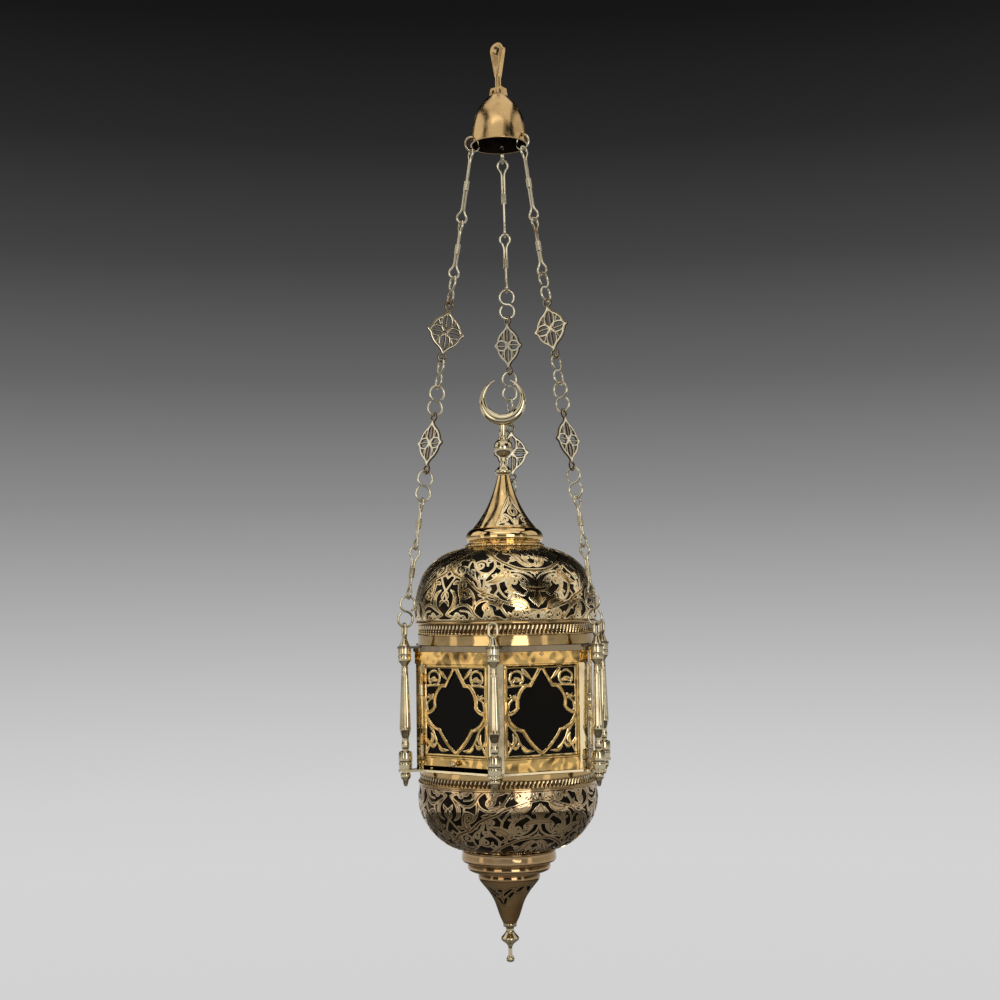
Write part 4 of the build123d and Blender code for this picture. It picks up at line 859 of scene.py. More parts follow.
PIERCED_HALF, PIERCED_HEIGHT, PIERCED_RISE = 42.0, 97.5, 19.0
WINDOW_BAND, PANEL_LINE, PANEL_WALL = 4.6, 4.75, 1.5
DOOR_FOOT, DOOR_TOP, DOOR_HALF = -863.9, -747.9, 47.1
HINGE_PLACE = (-47.3, -101.893)
HINGE_LEVELS = (DOOR_FOOT + 0.2 * (DOOR_TOP - DOOR_FOOT), DOOR_TOP - 0.2 * (DOOR_TOP - DOOR_FOOT))
HINGE_LEAF_X, KNUCKLE_HEIGHT = -44.0, 12.0
KNOB_LEVEL = DOOR_FOOT + 3.6


def pierced_point(share_x, share_y):
    """Point of the piercing from its shares of the half width and the height."""
    return np.array([share_x * PIERCED_HALF, share_y * PIERCED_HEIGHT])


def window_outline():
    """Right half of the pointed window: crown, step, shoulder, waist, flare, side point, belly, step and foot."""
    p = pierced_point
    return np.vstack([
        [p(0, 0.985), p(0.30, 0.775), p(0.44, 0.775)],
        arc_through(p(0.44, 0.775), p(0.60, 0.70), p(0.65, 0.545))[1:],
        arc_through(p(0.65, 0.545), p(0.745, 0.495), p(0.955, 0.455))[1:],
        arc_through(p(0.955, 0.455), p(0.79, 0.35), p(0.52, 0.30))[1:],
        [p(0.47, 0.265)],
        arc_through(p(0.47, 0.265), p(0.29, 0.156), p(0, 0.040))[1:],
    ])


def panel_strokes():
    """Scrolls of the right spandrels: ring with an arch, leaf, twigs, side strand, lower strand and sprig."""
    def shares(*points):
        return [tuple(pierced_point(*p)) for p in points]

    centre = pierced_point(0.735, 0.885)
    return [
        ring(centre, 8.2, 1.45),
        scroll(centre + [(-7.6, -3.4), (0.0, 0.4), (7.6, -3.4)], 1.3),
        leaf(centre + [(-4.0, -3.6), (0.0, -2.6), (4.4, -4.4)], 1.5),
        leaf(shares((0.58, 1.0), (0.44, 0.93), (0.26, 0.86)), 2.1),
        scroll(shares((1.0, 0.79), (0.75, 0.80), (0.44, 0.80)), 1.3),
        scroll(shares((1.0, 0.66), (0.86, 0.655), (0.64, 0.62)), 1.4),
        leaf(shares((0.76, 0.70), (0.84, 0.665), (0.93, 0.70)), 1.7),
        scroll(shares((0.82, 0.65), (0.95, 0.60), (0.985, 0.52), (0.90, 0.47)), 1.4),
        scroll(shares((1.0, 0.37), (0.80, 0.27), (0.66, 0.145), (0.50, 0.07)), 1.6),
        leaf(shares((0.60, 0.11), (0.48, 0.05), (0.24, 0.045)), 2.2),
        scroll(shares((1.0, 0.02), (0.90, 0.10), (0.84, 0.15)), 1.4),
        leaf(shares((0.88, 0.11), (0.80, 0.17), (0.86, 0.25)), 2.2),
        leaf(shares((0.88, 0.10), (0.76, 0.09), (0.66, 0.15)), 2.1),
        leaf(shares((0.90, 0.10), (0.96, 0.13), (1.0, 0.18)), 1.8),
    ]


def panel_field(x, y):
    """Depth of the metal in a panel: frame, window band and scrolls, cut by the window.

    y counts from the piercing's foot. A point is inside the window when a line to its right crosses the outline an
    odd number of times.
    """
    right = window_outline()
    outline = np.vstack([right, (right * [-1, 1])[::-1][1:-1]])
    ahead = np.roll(outline, -1, 0)
    steps = np.linspace(0, 1, 24, endpoint=False)[None, :, None]
    dense = (outline[:, None] + steps * (ahead - outline)[:, None]).reshape(-1, 2)
    reach = np.hypot(x[..., None] - dense[:, 0], y[..., None] - dense[:, 1]).min(-1)
    rises = (outline[:, 1] > y[..., None]) != (ahead[:, 1] > y[..., None])
    gap = np.where(ahead[:, 1] == outline[:, 1], 1.0, ahead[:, 1] - outline[:, 1])
    cross_x = outline[:, 0] + (y[..., None] - outline[:, 1]) / gap * (ahead[:, 0] - outline[:, 0])
    inside = (rises & (x[..., None] < cross_x)).sum(-1) % 2 == 1
    frame_depth = np.maximum(np.abs(x) - PIERCED_HALF, np.maximum(-y, y - PIERCED_HEIGHT))
    scrolls = ribbon_field(np.abs(x), y, panel_strokes())
    band = WINDOW_BAND - reach
    metal = np.maximum(np.maximum(frame_depth, scrolls), np.minimum(band, reach))
    return np.where(inside, -reach, metal), frame_depth, np.where(inside, -1.0, band)


def panel_shape(azimuth, apothem, half_width, foot, top):
    """Pierced panel: the field's metal, with a raised window band, raised scrolls and a bead round the piercing."""
    fine = np.linspace(-PIERCED_HALF - 6, PIERCED_HALF + 6, 154)
    if half_width > fine[-1] + 1:
        sides = np.linspace(-half_width, fine[0], 4)[:-1], np.linspace(fine[-1], half_width, 4)[1:]
        x_line = np.concatenate([sides[0], fine, sides[1]])
    else:
        x_line = np.linspace(-half_width, half_width, 152)
    low, high = LOWER_TOP + PIERCED_RISE, LOWER_TOP + PIERCED_RISE + PIERCED_HEIGHT
    reach = min(high + 6, top)
    z_line = np.unique(np.concatenate([
        np.linspace(foot, low - 6, 5), np.linspace(low - 6, reach, 172), np.linspace(reach, top, 5)]))
    x, z = np.meshgrid(x_line, z_line)
    field, frame_depth, band = panel_field(x, z - low)
    out, side = turn(azimuth)
    base = out * apothem + x[..., None] * side + z[..., None] * UP
    bead = np.exp(-(((frame_depth - 1.7) / 0.75) ** 2)) * 0.7
    lifted = 0.75 * np.clip(band / 1.2, 0, 1) + 0.35 * np.clip(field / 0.9, 0, 1)
    front = np.where(frame_depth > 0, bead, np.minimum(lifted, 1.0) - 0.35)
    back = np.full(field.shape, -PANEL_WALL)
    return cut_sheet(field, base, np.broadcast_to(out, base.shape), front, back, (-0.35, -PANEL_WALL))


def knuckle_shapes():
    """Door halves of the two hinges: a bored tube and a leaf with rounded corners beside it."""
    corner = arc_points((2.2, 5.2), 0.7, 0, 90, 5)
    outline = np.vstack([corner, (corner * [-1, 1])[::-1], corner * [-1, -1], (corner * [1, -1])[::-1]])
    shapes = []
    for level in HINGE_LEVELS:
        top, middle = level + KNUCKLE_HEIGHT, level + KNUCKLE_HEIGHT / 2
        bored = [(1.05, level), (2.0, level), (2.0, top), (1.05, top)]
        shapes.append(turned_shell(rounded(bored, 0.08, 1, True), 28, HINGE_PLACE))
        rings = []
        for lift, inset in ((-0.05, 0.0), (0.75, 0.0), (1.0, 0.25)):
            x, z = (outline * (1 - inset / 5.0)).T
            rings.append(np.stack([x + HINGE_LEAF_X, np.full(len(x), -POST_APOTHEM - lift), z + middle], -1))
        centre = np.array([HINGE_LEAF_X, -POST_APOTHEM, middle])
        shapes.append(skin(np.array(rings), centre + [0, 0.05, 0], centre - [0, 1.0, 0]))
    return shapes


def knob_shape():
    """Turned knob: its profile of (radius, reach) is spun round the line out of the door."""
    profile = [(0.0, -1.5), (1.6, -1.5), (1.6, 2.4), (2.6, 3.2), (3.6, 4.9), (3.3, 6.6), (2.2, 7.8), (0.0, 8.0)]
    verts, polys = turned(rounded(profile, 0.22, 2)[1:-1], 40)
    x, y, z = verts.T
    return np.stack([x, -POST_APOTHEM - z, -y + KNOB_LEVEL], -1), polys


class FANOUS_OT_panels(bpy.types.Operator):
    """Build the five pierced panels and the door, and finish the panes, plates and posts"""

    bl_idname = "fanous.panels"
    bl_label = "Panels and door"

    def execute(self, context):
        for number in range(1, 6):
            sheet = panel_shape(60.0 * number, POST_APOTHEM - 1.2, 55.5, LOWER_TOP + 0.1, UPPER_FOOT - 0.1)
            make_piece(f"panel_{number}_work", sheet, "panel", f"panel_{number}", sharp=50, back="inner_shade")
        sheet = panel_shape(0.0, POST_APOTHEM, DOOR_HALF, DOOR_FOOT, DOOR_TOP)
        make_piece("door_leaf", with_parts(sheet, knuckle_shapes(), 0, 6.0), "panel", "door", "door", 50, "inner_shade")
        make_piece("door_pull", knob_shape(), "cast", "door_knob", "door")
        dress("glass", *[f"pane_{k}" for k in range(1, 6)], "door_pane")
        dress("plate", "upper_plate")
        dress("cast", "lower_plate", "corner_posts")
        dress("rivet", "panel_rivets", "band_rivets", "hinge_pins")
        dress("inner", "drip_pan", "candle_socket")
        return {"FINISHED"}


# Columns


COLUMN_PROFILE = [
    (0.90, 1.0), (1.0, 0.950), (0.93, 0.944), (0.93, 0.936), (1.0, 0.930), (1.0, 0.856), (0.48, 0.845), (0.48, 0.830),
    (0.57, 0.815), (0.57, 0.785), (0.50, 0.772), (0.50, 0.742), (0.70, 0.700), (0.82, 0.670),
    (0.50, 0.197), (0.48, 0.193), (0.48, 0.155), (0.39, 0.147), (0.72, 0.118), (0.95, 0.104),
    (0.95, 0.064), (0.89, 0.060), (0.89, 0.056), (0.95, 0.052), (0.95, 0.0),
]


def column_shape(azimuth, reeds):
    """Turned column: a rounded profile whose shaft swells and sinks round itself in reeds."""
    line = sized(COLUMN_PROFILE, 8.0, UPPER_FOOT, -DRUM_HEIGHT)
    low, high = UPPER_FOOT - DRUM_HEIGHT * 0.668, UPPER_FOOT - DRUM_HEIGHT * 0.199
    shaft = np.linspace(0.02, 0.98, 26)
    rows = np.concatenate([line[:14], np.stack([6.56 - 2.56 * shaft, low + (high - low) * shaft], -1), line[14:]])
    rows = rounded(rows, 0.16, 1)
    share = np.clip((rows[:, 1] - low) / (high - low), 0, 1)
    deep = 0.07 * np.clip(np.minimum(share, 1 - share) / 0.06, 0, 1)
    rings = turned_rings(rows, reeds * 8)
    rings[..., :2] *= (1 - deep[:, None] * (0.5 + 0.5 * np.cos(reeds * round_angles(reeds * 8))))[..., None]
    centre = turn(azimuth)[0] * COLUMN_CIRCLE
    return skin(rings + centre, centre + UP * rows[0, 1], centre + UP * rows[-1, 1])


def eye_nut_shape(azimuth, twist):
    """Eye nut: a flared turned foot with a wire loop standing on it."""
    out, side = turn(azimuth)
    centre = out * COLUMN_CIRCLE
    foot = [(5.9, 0), (6.2, 0.8), (5.6, 1.9), (4.9, 3.6), (3.4, 7.4), (2.7, 10.0), (2.2, 10.8)]
    foot = rounded(sized(foot, 1.0, UPPER_TOP, 1.0), 0.22, 2)
    t = math.radians(twist)
    across = side * math.cos(t) - out * math.sin(t)
    radius, low, high = 4.7, 4.7 - 17.6, -1.8 - 4.7
    path = np.vstack([arc_points((0, high), radius, 0, 180, 20), arc_points((0, low), radius, 180, 180, 20)])
    axes = (centre + UP * NUT_EYE_TOP, across, UP, np.cross(across, UP))
    return joined([turned(foot, 48, centre[:2]), tube(placed(path, axes), 1.8, axes[3], 14, True)])


def drop_nut_shape(azimuth):
    """Drop nut: a turned knob under the lower plate."""
    shares = [(0.3, 0.96), (0.5, 0.75), (0.62, 0.52), (1.0, 0.40), (1.0, 0.14), (0.78, 0.08), (0.78, 0.0)]
    line = sized(shares, 5.9, LOWER_FOOT, -17.0)
    line = rounded(np.vstack([(0.6, line[0, 1] - 0.3), line]), 0.2, 2)
    return turned(line, 48, (turn(azimuth)[0] * COLUMN_CIRCLE)[:2])


class FANOUS_OT_columns(bpy.types.Operator):
    """Build the six reeded columns with their eye nuts and drop nuts"""

    bl_idname = "fanous.columns"
    bl_label = "Columns"

    def execute(self, context):
        reeds = settings("fanous_ornament").reeds
        twists = [CHAINS["left"][1], 0, CHAINS["right"][1], 0, CHAINS["rear"][1], 0]
        for number, azimuth in enumerate(COLUMN_AZIMUTHS, 1):
            make_piece(f"column_{number}_turned", column_shape(azimuth, reeds), "cast", f"column_{number}", sharp=48)
        eyes = joined([eye_nut_shape(a, t) for a, t in zip(COLUMN_AZIMUTHS, twists)])
        make_piece("eye_nuts_turned", eyes, "cast", "eye_nuts")
        drops = joined([drop_nut_shape(a) for a in COLUMN_AZIMUTHS])
        make_piece("drop_nuts_turned", drops, "cast", "drop_nuts")
        return {"FINISHED"}


# Openwork of dome and bowl

DOME_RADIUS, BOWL_RADIUS = 109.7, 106.7
DOME_SHARES = [(0.982, 0.0), (1.0, 0.149), (0.968, 0.394), (0.892, 0.646), (0.772, 0.815), (0.619, 0.931), (0.42, 1.0)]
BOWL_SHARES = [(0.984, 0.0), (0.9925, 0.133), (1.0, 0.234), (0.9466, 0.538), (0.801, 0.804), (0.66, 0.940), (0.50, 1.0)]
TILE = DOME_RADIUS * math.pi / 3
MIRROR_AZIMUTH = -3.5
OPENWORK_COLUMNS = 480


def arabesque_strokes():
    """Half of one repeat of the arabesque: stems, snails and leaves between two mirrors a sixth of a turn apart.

    Places are millimetres round the widest ring and up the unrolled sheet, breadths are millimetres of metal.
    """
    return [
        scroll([(31.6, 122.8), (22, 107.6), (13.9, 96.3), (3.8, 86.4), (-4.3, 79.1), (-3.4, 70.2), (4.8, 60.5),
               (16.3, 53.9), (27.8, 49.6), (35.4, 43.1), (43.6, 36.3), (53.6, 31.7), (62.7, 28.3), (70.4, 23.4),
               (79.5, 19.8), (89, 17), (100.5, 13.4), (113.9, 11)], 2.5, 2.0),
        scroll([(38.3, 116.6), (54.1, 95.2), (67.5, 80.1), (79, 71.7), (88.6, 66), (99.6, 62.3), (112.5, 61.4),
               (119.2, 61.4)], 2.3, 2.5),
        scroll([(85.2, 61), (97.6, 58.8), (105.8, 55.2), (111.5, 50), (113.9, 44), (115.8, 40.1)], 1.3, 1.5),
        taper([(94.8, 42.3), (99.6, 39.7), (105.8, 37.2), (115.4, 36.3)], [0.8, 2.4, 3.6, 3.8]),
        taper([(114.9, 34.2), (114.9, 26.3), (114.9, 21), (114.9, 16.2)], [4.0, 6.4, 4.0, 1.2]),
        scroll([(106.3, 41.9), (104.3, 46.1), (98.6, 52.2), (90.9, 55.7), (82.8, 53.9), (78, 47), (79.5, 40.1),
               (83.3, 35.5), (87.6, 33.4), (92.9, 31.7), (97.6, 29.2), (101.5, 31.3), (103.9, 33.8)], 1.5, 1.3),
        scroll([(87.6, 34.2), (83.3, 38), (82.3, 44.4)], 1.9, 1.4, (87.6, 46.6), -1.25, 2.0),
        taper([(80.4, 20.2), (86.2, 22.6), (94.8, 22.2), (100.5, 18.2), (103.9, 12.6)], [1.5, 3.2, 4.2, 3.4, 1.2]),
        scroll([(86.6, 23), (87.6, 27.1)], 1.3, 1.1, (83.8, 28.3), 1.2, 1.8),
        scroll([(68, 43.1), (69.9, 35.9), (73.7, 30), (79, 25), (84.2, 21.8)], 1.6, 1.5),
        scroll([(64.1, 29.6), (68.9, 35.9)], 1.2, 1.1),
        taper([(51.2, 44.4), (59.4, 45.7), (66.5, 48.7), (72.8, 53.9)], [0.9, 2.4, 4.2, 4.8]),
        scroll([(70.8, 50.5), (72.3, 57)], 1.9, 1.6, (78, 57.4), -1.45, 2.6),
        scroll([(52.2, 42.7), (65.6, 44), (74.7, 47.4), (84.2, 53.1)], 1.2, 1.2),
        scroll([(73.2, 74.6), (73.2, 62.8)], 1.6, 1.6),
        scroll([(14.4, 95.2), (27.3, 83.2), (34.5, 74.6), (36.9, 67.9), (41.6, 61), (47.4, 57.9), (55, 57), (61.3,
               61.4), (64.1, 69.8), (61.7, 80.1), (55.5, 87.5), (43.6, 102.2)], 1.4, 1.6),
        scroll([(54.1, 69.3), (52.2, 75.6), (44.5, 79.6), (37.8, 76.6)], 1.5, 1.4, (43.1, 70.2), 1.3, 2.1),
        scroll([(62.2, 81.1), (58.9, 84.8)], 1.1, 1.0, (55.5, 79.1), 1.1, 1.7),
        scroll([(28.2, 81.1), (26.8, 69.3), (28.2, 61.4), (34, 53.5), (41.6, 47.4), (45, 41.4), (49.8, 35)], 1.4,
               1.6),
        scroll([(41.2, 47.4), (38.8, 53.9), (37.3, 59.2)], 1.2, 1.0, (34, 60.1), 1.1, 1.8),
        scroll([(60.3, 61), (55.5, 54.4), (51.7, 48.3), (51.2, 42.3), (52.2, 33.8)], 1.4, 1.4),
        scroll([(46.9, 41.4), (44, 50.5)], 1.2, 1.0, (47.9, 52.6), -1.15, 1.8),
        scroll([(51.7, 32.5), (53.6, 36.3)], 1.2, 1.1, (57, 36.7), -1.2, 1.9),
        scroll([(22.5, 81.7), (14.8, 83.7), (8.6, 79.6), (12, 71.2)], 1.5, 1.6, (19.1, 63.7), 1.35, 2.3),
        leaf([(-1.4, 79.1), (4.8, 81.1), (13.9, 71.2)], 1.6),
        scroll([(27.8, 49.6), (21.5, 47), (20.1, 39.7), (21.5, 31.7)], 2.6, 1.9, (27.8, 31.7), 1.15, 2.6),
        scroll([(25.8, 38.4), (32.5, 36.3), (37.8, 30.8), (40.2, 23.8), (40.2, 13.8)], 1.9, 1.9),
        taper([(27.3, 48.3), (25.8, 41.9), (23.9, 35.5)], [2.0, 3.2, 2.0]),
        scroll([(21.1, 18.2), (29.7, 19), (36.9, 14.2), (41.2, 7), (49.8, 0)], 2.0, 2.2),
        scroll([(23, 12.2), (32.1, 11), (37.8, 5.8), (45, 0)], 1.3, 1.3),
        scroll([(40.2, 14.2), (42.1, 18.2), (46.9, 22.2), (54.1, 24.2), (62.2, 22.6), (68.9, 19), (73.2, 13),
               (77.1, 7.4), (84.2, 0)], 1.9, 2.0),
        scroll([(67.5, 17.4), (62.2, 19.8), (56.5, 20.6), (52.2, 17.4)], 1.7, 1.6, (56, 14.6), 1.25, 2.3),
        scroll([(49.8, 0), (52.2, 4.9)], 1.5, 1.3, (57.4, 5.3), -1.3, 2.2),
        scroll([(60.8, 14.2), (63.2, 5.8), (70.4, 3.3), (74.2, 0)], 1.6, 1.6),
        scroll([(98.1, 0), (96.2, 5.8)], 1.8, 1.6, (90, 7), 1.5, 2.6),
        scroll([(96.2, 4.9), (102.9, 5.3), (106.7, 0)], 1.6, 1.6),
        leaf([(97.6, 11.8), (102.9, 9), (109.6, 5.3)], 2.0),
        ring((116.8, 4.9), 5.2, 1.3),
        scroll([(113.9, 11), (115.4, 8.6)], 1.5, 1.5),
        leaf([(84.2, 0), (82.8, 4.9), (79, 11.4)], 2.2),
        scroll([(12.4, 53.9), (5.3, 42.7), (0.5, 35.9), (-2.9, 27.1)], 1.4, 1.4),
        taper([(7.7, 36.7), (14.4, 31.3), (15.8, 23.4), (12, 15.8), (4.3, 9.4)], [1.0, 2.8, 3.4, 2.6, 1.4]),
        scroll([(21.5, 18.2), (16.3, 15.4), (9.1, 11.8), (3.3, 7.8)], 1.5, 1.5),
        scroll([(3.3, 7.8), (10.1, 5.3), (17.2, 3.3), (23.9, 0)], 1.9, 1.8),
        scroll([(13.4, 4.1), (15.8, 7.8)], 1.2, 1.1, (19.1, 6.2), -1.15, 1.8),
        scroll([(23.9, 27.5), (23, 23.4), (24.9, 18.6)], 1.4, 1.4),
        leaf([(32.5, 0), (35.4, 4.1), (33.5, 9.4)], 1.8),
        scroll([(60.3, 86.9), (64.1, 105.2)], 1.3, 1.2, (78, 102.7), -1.3, 2.0),
        scroll([(84.7, 96.9), (92.4, 85.3), (99.6, 73.1), (108.7, 67.9), (119.7, 73.1)], 2.0, 1.6),
        scroll([(79, 72.2), (83.8, 78.6)], 1.2, 1.0, (87.6, 83.2), 1.2, 1.8),
        taper([(87.6, 98.6), (95.3, 93.5), (102, 79.1), (107.2, 69.3)], [1.2, 3.0, 2.4, 1.0]),
        scroll([(99.6, 73.1), (109.6, 85.3), (119.2, 104)], 1.3, 1.2),
        scroll([(119.2, 72.2), (123, 81.7)], 1.3, 1.2, (120.1, 85.3), 1.2, 1.8),
        scroll([(104.8, 114), (104.8, 91.8), (103.4, 74.1)], 1.3, 1.3),
        scroll([(31.6, 122.8), (38, 136), (37, 157)], 2.2, 2.0),
        scroll([(38.3, 116.6), (30, 128), (18, 134), (8, 128)], 2.2, 1.6, (15, 121), -1.2, 2.4),
        scroll([(0, 106), (8, 112), (15, 112)], 1.5, 1.5),
        leaf([(37, 146), (22, 144), (8, 152)], 2.6),
        scroll([(0, 140), (10, 143), (22, 144)], 1.5, 1.5),
        scroll([(64.1, 105.2), (60, 120), (49, 133), (38, 138)], 1.6, 1.8),
        scroll([(60, 157), (60, 144), (68, 134), (78, 134)], 1.7, 1.4, (77, 124), -1.2, 2.4),
        leaf([(60, 144), (50, 150), (44, 157)], 2.2),
        scroll([(104.8, 114), (100, 130), (90, 142), (82, 157)], 1.8, 1.8),
        scroll([(87, 128), (94, 122), (100, 128)], 1.4, 1.4),
        leaf([(95, 136), (84, 134), (78, 140)], 2.2),
        scroll([(119.2, 104), (112, 116), (104, 118)], 1.4, 1.4),
        leaf([(114.9, 122), (108, 132), (96, 138)], 2.6),
        scroll([(114.9, 138), (106, 146), (104, 157)], 1.7, 1.7),
        scroll([(78, 110), (82, 118), (84, 124)], 1.4, 1.4),
        leaf([(66, 98), (56, 100), (46, 108)], 2.2),
        leaf([(0, 96), (5, 90), (4, 84)], 2.2),
        leaf([(2, 60), (6, 66), (2, 74)], 2.4),
        scroll([(0, 52), (5, 56), (12, 54)], 1.5, 1.5),
        leaf([(10, 44), (16, 46), (21, 42)], 2.2),
        leaf([(0, 24), (5, 22), (7, 17)], 2.2),
        leaf([(0, 36), (4, 30), (3, 24)], 2.0),
        leaf([(30, 26), (34, 29), (38, 29)], 1.8),
        leaf([(44, 30), (52, 29), (58, 25)], 2.0),
        leaf([(60, 54), (64, 54), (67, 58)], 1.6),
        leaf([(66, 70), (70, 66), (73, 63)], 1.8),
        leaf([(76, 33), (80, 34), (84, 34)], 1.5),
        leaf([(90, 30), (93, 27), (93, 23)], 1.6),
        leaf([(104, 27), (108, 24), (111, 18)], 1.8),
        leaf([(97, 46), (101, 45), (104, 42)], 1.5),
        leaf([(92, 52), (96, 48), (97, 42)], 1.7),
        leaf([(110, 56), (114.9, 60), (114.9, 50)], 1.5),
        leaf([(74, 22), (70, 17), (66, 12)], 2.0),
        leaf([(22, 6), (27, 5), (30, 0)], 1.8),
        leaf([(64, 20), (68, 26), (66, 29)], 1.5),
        leaf([(36, 47), (38, 42), (42, 37)], 1.6),
    ]


def shade_backed(openwork, meridian):
    """Openwork backed by a thin near-black sheet of painted shade, so its holes read dark: its meridian, moved inwards
    by the openwork's depth, is spun behind it.
    """
    rows = meridian[np.linspace(0, len(meridian) - 1, 34).round().astype(int)]
    shade_sheet = turned_shell(folded(rows, SHEET_WALL - OPENWORK, OPENWORK), 120)
    return with_parts(openwork, [shade_sheet], 1, 0.0)


def openwork_shape(shares, radius, foot, height, rows, breadth, border):
    """Pierced spun sheet.

    The meridian is a spline through the shares. Rows climb it evenly in the stretch integral of ds / r, in which
    the sheet unrolls without shear, so the drawing keeps its angles while it shrinks towards the narrow end.
    """
    line = spline_through(sized(shares, radius, foot, height), 500)
    step = np.linalg.norm(np.diff(line, axis=0), axis=1) / ((line[1:, 0] + line[:-1, 0]) / 2)
    unrolled = np.concatenate([[0], np.cumsum(step)]) * DOME_RADIUS
    tall = unrolled[-1]
    rise = np.linspace(0, tall, rows)
    meridian = np.stack([np.interp(rise, unrolled, line[:, k]) for k in (0, 1)], -1)
    half = OPENWORK_COLUMNS // 6
    x, y = np.meshgrid(np.linspace(0, TILE, half + 1), rise)
    shrink = meridian[:, 0] / DOME_RADIUS
    strokes = [(path, halves / np.interp(path[:, 1], rise, shrink)) for path, halves in arabesque_strokes()]
    field = ribbon_field(x, y, strokes, breadth, ((-1, 0.0), (-1, 2 * TILE)))
    field = np.maximum(field, np.maximum(border - y, y - (tall - 4.0))) * shrink[:, None]
    place = (np.arange(OPENWORK_COLUMNS) - round(MIRROR_AZIMUTH / 360 * OPENWORK_COLUMNS)) % (2 * half)
    field = field[:, np.minimum(place, 2 * half - place)]
    if height < 0:
        meridian, field = meridian[::-1], field[::-1]
    return shade_backed(spun_sheet(field, meridian, OPENWORK), meridian)


def rope_band_shape(rows, rope_low, rope_high, slashes):
    """Band with a carved rope: inside the rope, slanted cuts and small pits sink into the outline.

    Rows are (radius, level) up the outside. The cut's place along the band is the azimuth times the number of
    slashes plus the slant times the height, and a cut is deep where that place is near a whole number.
    """
    line = np.vstack(rows)
    rings = turned_rings(line, slashes * 8)
    t = round_angles(slashes * 8)
    h = np.clip((line[:, 1] - rope_low) / (rope_high - rope_low), -1, 2)[:, None]
    inside = np.clip(np.minimum(h, 1 - h) / 0.06, 0, 1)
    phase = (t * slashes / TAU - 0.55 * h) % 1
    cut = np.clip(1.9 - 5.2 * np.abs(phase - 0.5), 0, 1)
    pit = np.clip(2.4 - 6.0 * np.abs(phase - 0.06), 0, 1) * np.clip(2.2 - 9.0 * np.abs(h - 0.30), 0, 1)
    deep = 1.25 * inside * np.maximum(cut, pit)
    rings[..., :2] *= (1 - deep / line[:, :1])[..., None]
    # Depth drives the carved finish: the raised rope is painted pale as a highlight, the deepest cuts take the dark
    # groove tint.
    depth = np.where(inside > 0, 0.3 + deep, 3.0)
    return *skin(rings, loop=True), None, depth.ravel()


class FANOUS_OT_dome(bpy.types.Operator):
    """Build the pierced dome and its carved band"""

    bl_idname = "fanous.dome"
    bl_label = "Dome"

    def execute(self, context):
        ornament = settings("fanous_ornament")
        height = DOME_TOP - BAND_TOP
        dome = openwork_shape(DOME_SHARES, DOME_RADIUS, BAND_TOP, height, 94, ornament.ribbon, 2.2)
        make_piece("dome_openwork", dome, "pierced", "dome", sharp=45, back="inner_shade")
        low, high = UPPER_TOP + 12.9, UPPER_TOP + 24.0
        rows = [
            [(104.2, UPPER_TOP), (105.0, UPPER_TOP + 0.6), (105.0, low - 1.6), (105.5, low - 1.2), (105.5, low - 0.5)],
            np.stack([np.full(15, 105.0), np.linspace(low, high, 15)], -1),
            (105.5, high + 0.4),
            arc_points((106.2, BAND_TOP - 2.0), 2.0, -70, 140, 9),
            [(105.0, BAND_TOP), (103.4, BAND_TOP)],
            [(103.4, UPPER_TOP + 1.6), (91.4, UPPER_TOP + 1.6), (91.4, UPPER_TOP)],
        ]
        band = rope_band_shape(rows, low, high, ornament.slashes)
        make_piece("dome_rope_band", band, "carved", "dome_band", sharp=50)
        return {"FINISHED"}


# Spire, finial and crescent


def pierced_cone_shape(profile, holes, rows, cols):
    """Pierced cone: a splined meridian of revolution, cut by a field of azimuth and distance along it."""
    line = spline_through(profile, rows)
    along = np.concatenate([[0], np.cumsum(np.linalg.norm(np.diff(line, axis=0), axis=1))])
    field = holes(round_angles(cols)[None, :], line[:, :1], along[:, None])
    return shade_backed(spun_sheet(field, line, OPENWORK), line)


def spire_holes(t, r, s):
    """Three pointed fields: a tall triangle of the cone is open except for two mirrored snails, strands and leaves."""
    turn_by = (t - math.radians(60.0) + TAU / 6) % (TAU / 3) - TAU / 6
    x, y = np.broadcast_arrays(np.abs(turn_by * r) / 1.18, s / 1.06)
    field = np.maximum(x - 20.5 * (43.0 - y) / 40.0, np.maximum(3.0 - y, y - 43.0))
    strokes = [
        scroll([(0.5, 2.0), (2.6, 8.0), (4.6, 14.5), (8.6, 18.2), (13.4, 16.2)], 1.3, 1.1, (10.6, 12.4), -1.3, 1.8),
        scroll([(18.4, 5.0), (14.0, 16.5), (8.0, 24.5), (3.0, 32.5), (0.6, 39.0)], 1.1),
        scroll([(0, 2.0), (0, 12.0)], 1.4),
        scroll([(0, 26.0), (0, 43.0)], 1.2),
        leaf([(0, 16.0), (3.4, 22.0), (1.0, 30.0)], 1.7),
        scroll([(19.5, 4.0), (14.5, 7.0), (9.0, 5.6)], 1.1, 1.0, (9.8, 3.4), 0.9, 1.2),
        leaf([(13.6, 17.0), (15.4, 13.0), (14.4, 9.0)], 1.2),
    ]
    return np.maximum(field, ribbon_field(x, y, strokes))


